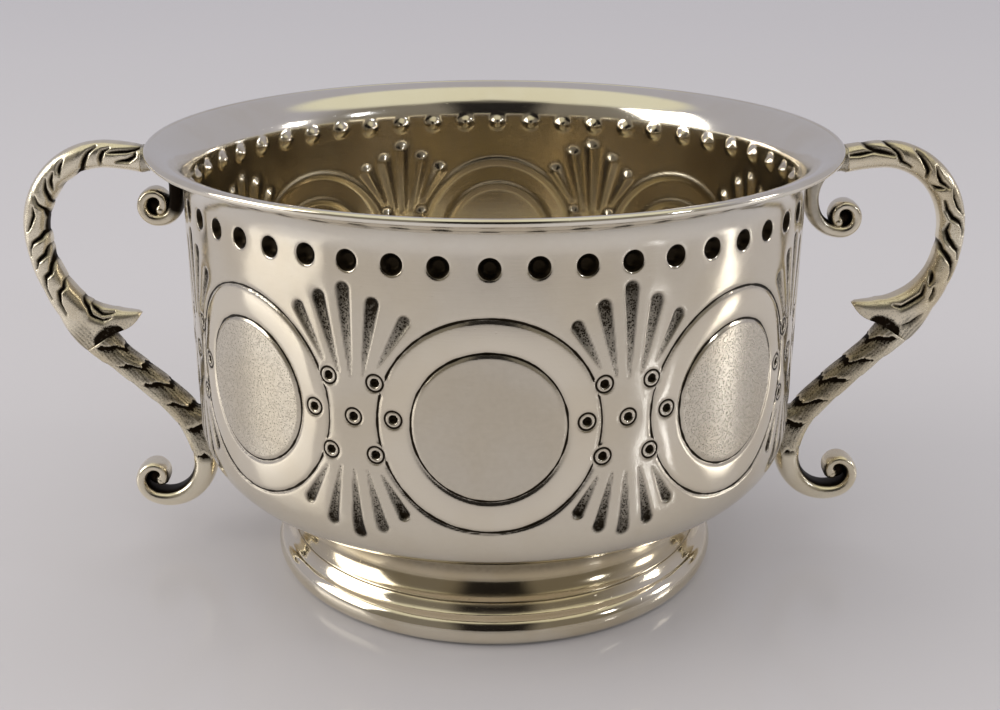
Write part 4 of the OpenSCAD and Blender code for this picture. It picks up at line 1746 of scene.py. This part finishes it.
        # Half the thickness of arm and strip, half the width, and the volute's radius
        a, s, w, k = self.arm_t / 2, self.strip_t / 2, self.arm_w / 2, self.volute_r
        curl_t = [(2, 0.9 * s), (2.31, 0.78 * s), (2.66, 0.66 * s), (2.82, 0.74 * s), (3, 0.9 * s)]
        bar = Bar(
            curves=[
                [start, start - vec(1.5 * self.arm_out, 0), neck + vec(0, 1.49 * k), neck],
                [neck, neck - vec(0, 1.58 * k), low - vec(1.29 * k, 0), low],
            ],
            left_t=[(0, a), (0.5, s), (1, 0.8 * s), *curl_t],
            right_t=[(0, a), (0.12, a), (0.3, 2 * a), (0.6, 1.3 * a), (1, 1.1 * s), *curl_t],
            half_w=[(0, w), (1, 0.92 * w), (3, 0.8 * w)],
            start_dir=vec(-1.0, 0.0),
            fit=self._under_lip,
            curl=(eye, self.volute_r, self.volute_end_r),
            square=[(0.5, 0.86), (1.2, 0.74), (3, 0.74)],
            step=0.12,
        )
        # Painted shade inside the curl, in the gap of its last turn and on the strip above the volute; the
        # root by the arm is darkened too
        inner = ease(0.7, 0.9, bar.across) * ease(0.7, 1.1, bar.place)
        root = 1 - ease(0.1, 0.7, bar.place)
        shaded = ease(0.15, 0.6, bar.place) * (1 - ease(1.35, 1.75, bar.place))
        coil = 0.6 * ease(0.5, 0.9, -bar.across) * ease(2.72, 2.9, bar.place)
        soot = np.maximum(1.5 * np.maximum(inner, coil), 0.45 * root)
        soot = np.maximum(soot, self.casting.strip_shade * shaded)
        label, mat = self._label("curled_volute"), 0.3 * root
        piece = bar.build(label, self.side, 0.0, soot, mat, bulb_r=self.volute_bulb_r)
        settle(piece, self._label("volute"), Finishes.CURL)


# Studio


@dataclass(frozen=True)
class Lamp:
    """A soft square lamp.

    Attributes:
        name: Name of the lamp.
        at: Place of the lamp in metres.
        size: Side of the square in metres.
        power: Power in watts.
        colour: Colour of its light.
    """

    name: str
    at: tuple[float, float, float]
    size: float
    power: float
    colour: Colour

    def hang(self, target: Sequence[float]) -> None:
        """Hangs the lamp so that it faces the target.

        Args:
            target: What it faces, in metres.
        """
        lamp = bpy.data.lights.new(self.name, "AREA")
        lamp.shape = "SQUARE"
        lamp.size, lamp.energy, lamp.color = self.size, self.power, self.colour
        aim(bpy.data.objects.new(self.name, lamp), self.at, target)


LAMPS = (
    Lamp("left_window", at=(-1.3, -0.2, 0.62), size=0.85, power=8.0, colour=(1.0, 0.97, 0.92)),
    Lamp("right_window", at=(1.32, 0.02, 0.38), size=0.21, power=1.75, colour=(1.0, 0.98, 0.95)),
    Lamp("right_lamp", at=(0.94, -0.57, 0.46), size=0.11, power=0.7, colour=(0.86, 0.9, 1.0)),
)


def aim(holder: bpy.types.Object, at: Sequence[float], target: Sequence[float]) -> None:
    """Puts a lamp or a camera in its place and turns it to a target.

    Args:
        holder: The lamp or camera.
        at: Its place in metres.
        target: What it faces, in metres.
    """
    holder.location = at
    holder.rotation_euler = (Vector(target) - Vector(at)).to_track_quat("-Z", "Y").to_euler()
    bpy.context.scene.collection.objects.link(holder)


@dataclass
class Studio:
    """A pale floor, soft lamps, the surroundings and the camera.

    Attributes:
        eye: Place of the camera in metres.
        look_at: What camera and lamps face, in metres.
        lens: Length of the lens in millimetres, with the width of the sensor.
        shift: How far the picture is shifted, in widths of the sensor.
        floor_half: Half the side of the floor in metres, with its roughness, shine and colour.
        soft: Light from all round.
        backdrop: Colour beyond the floor.
        behind: What the metal mirrors from behind the cup.
        ceiling: What it mirrors from overhead.
        room: What it mirrors from the front.
        gloom: What it mirrors from the dim middle of the front.
    """

    eye: tuple[float, float, float] = (0.0, -0.19777, 0.10424)
    look_at: tuple[float, float, float] = (0.0, 0.0, 0.030)
    lens: float = 48.97
    sensor: float = 36.0
    shift: tuple[float, float] = (0.0057, 0.0070)
    floor_half: float = 4.0
    floor_rough: float = 0.17
    floor_shine: float = 0.25
    floor_colour: Colour = (0.55, 0.53, 0.535)
    soft: Colour = (0.96, 0.95, 0.96)
    backdrop: Colour = (0.5, 0.49, 0.5)
    behind: Colour = (0.42, 0.41, 0.455)
    ceiling: Colour = (0.74, 0.71, 0.56)
    room: Colour = (0.2, 0.18, 0.15)
    gloom: Colour = (0.012, 0.01, 0.009)

    def build(self) -> None:
        """Builds the studio."""
        self._floor()
        self._surroundings()
        for lamp in LAMPS:
            lamp.hang(self.look_at)
        self._camera()

    def _floor(self) -> None:
        """Lays a pale floor that is faintly glossy."""
        mesh = bpy.data.meshes.new("pale_floor")
        far = self.floor_half
        mesh.from_pydata([(-far, -far, 0), (far, -far, 0), (far, far, 0), (-far, far, 0)], [], [(0, 1, 2, 3)])
        floor = bpy.data.objects.new("pale_floor", mesh)
        bpy.context.scene.collection.objects.link(floor)
        material = bpy.data.materials.new("pale_paper")
        material.use_nodes = True
        shader = material.node_tree.nodes["Principled BSDF"]
        shader.inputs["Base Color"].default_value = (*self.floor_colour, 1.0)
        shader.inputs["Roughness"].default_value = self.floor_rough
        shader.inputs["Specular IOR Level"].default_value = self.floor_shine
        mesh.materials.append(material)
        floor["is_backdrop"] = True

    def _surroundings(self) -> None:
        """Sets soft light all round, and a room with a dim front for the metal to mirror."""
        world = bpy.data.worlds.new("studio")
        bpy.context.scene.world = world
        world.use_nodes = True
        bench = NodeBench(world.node_tree)
        back = world.node_tree.nodes["Background"]
        way = bench.add("ShaderNodeSeparateXYZ")
        bench.wire(bench.add("ShaderNodeTexCoord").outputs["Generated"], way.inputs["Vector"])
        x, y, z = (way.outputs[key] for key in "XYZ")
        front = bench.span(bench.math("MULTIPLY", y, -1.0), -0.1, 0.5)
        view = bench.mix(front, self.behind, self.room)
        # The ceiling starts lower at the sides and towards the front
        aside = bench.math("ABSOLUTE", x)
        above = bench.math("SUBTRACT", z, bench.math("MULTIPLY", y, 0.14))
        above = bench.math("ADD", above, bench.math("MULTIPLY", aside, 0.3))
        view = bench.mix(bench.span(above, 0.84, 0.94), view, self.ceiling)
        narrow = bench.math("SUBTRACT", 1.0, bench.span(aside, 0.2, 0.4))
        low = bench.math("SUBTRACT", 1.0, bench.span(z, 0.62, 0.8))
        dim = bench.math("MULTIPLY", bench.math("MULTIPLY", narrow, low), front)
        view = bench.mix(dim, view, self.gloom)
        path = bench.add("ShaderNodeLightPath")
        light = bench.mix(path.outputs["Is Glossy Ray"], self.soft, view)
        bench.wire(bench.mix(path.outputs["Is Camera Ray"], light, self.backdrop), back.inputs["Color"])
        back.inputs["Strength"].default_value = 1.0

    def _camera(self) -> None:
        """Places the camera."""
        camera = bpy.data.cameras.new("front")
        camera.lens, camera.sensor_width = self.lens, self.sensor
        camera.shift_x, camera.shift_y = self.shift
        camera.clip_start = 0.01
        holder = bpy.data.objects.new("front", camera)
        aim(holder, self.eye, self.look_at)
        bpy.context.scene.camera = holder
        bpy.context.scene.view_settings.view_transform = "Standard"


def write_sizes() -> None:
    """Works out the box of the solids and the box of the looks, and keeps neither.
    """
    plain = lambda box: [[float(v) for v in corner] for corner in box]
    {"solids": plain(CAD_BOX), "looks": plain(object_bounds())}


def main() -> None:
    """Builds the cup and its studio."""
    logging.basicConfig(level=logging.INFO, format="%(name)s: %(message)s")
    Bowl().build()
    TurnedRings().build()
    Handle(Side.RIGHT, RIGHT_CASTING).build()
    Handle(Side.LEFT, LEFT_CASTING).build()
    Studio().build()
    write_sizes()


if __name__ == "__main__":
    main()
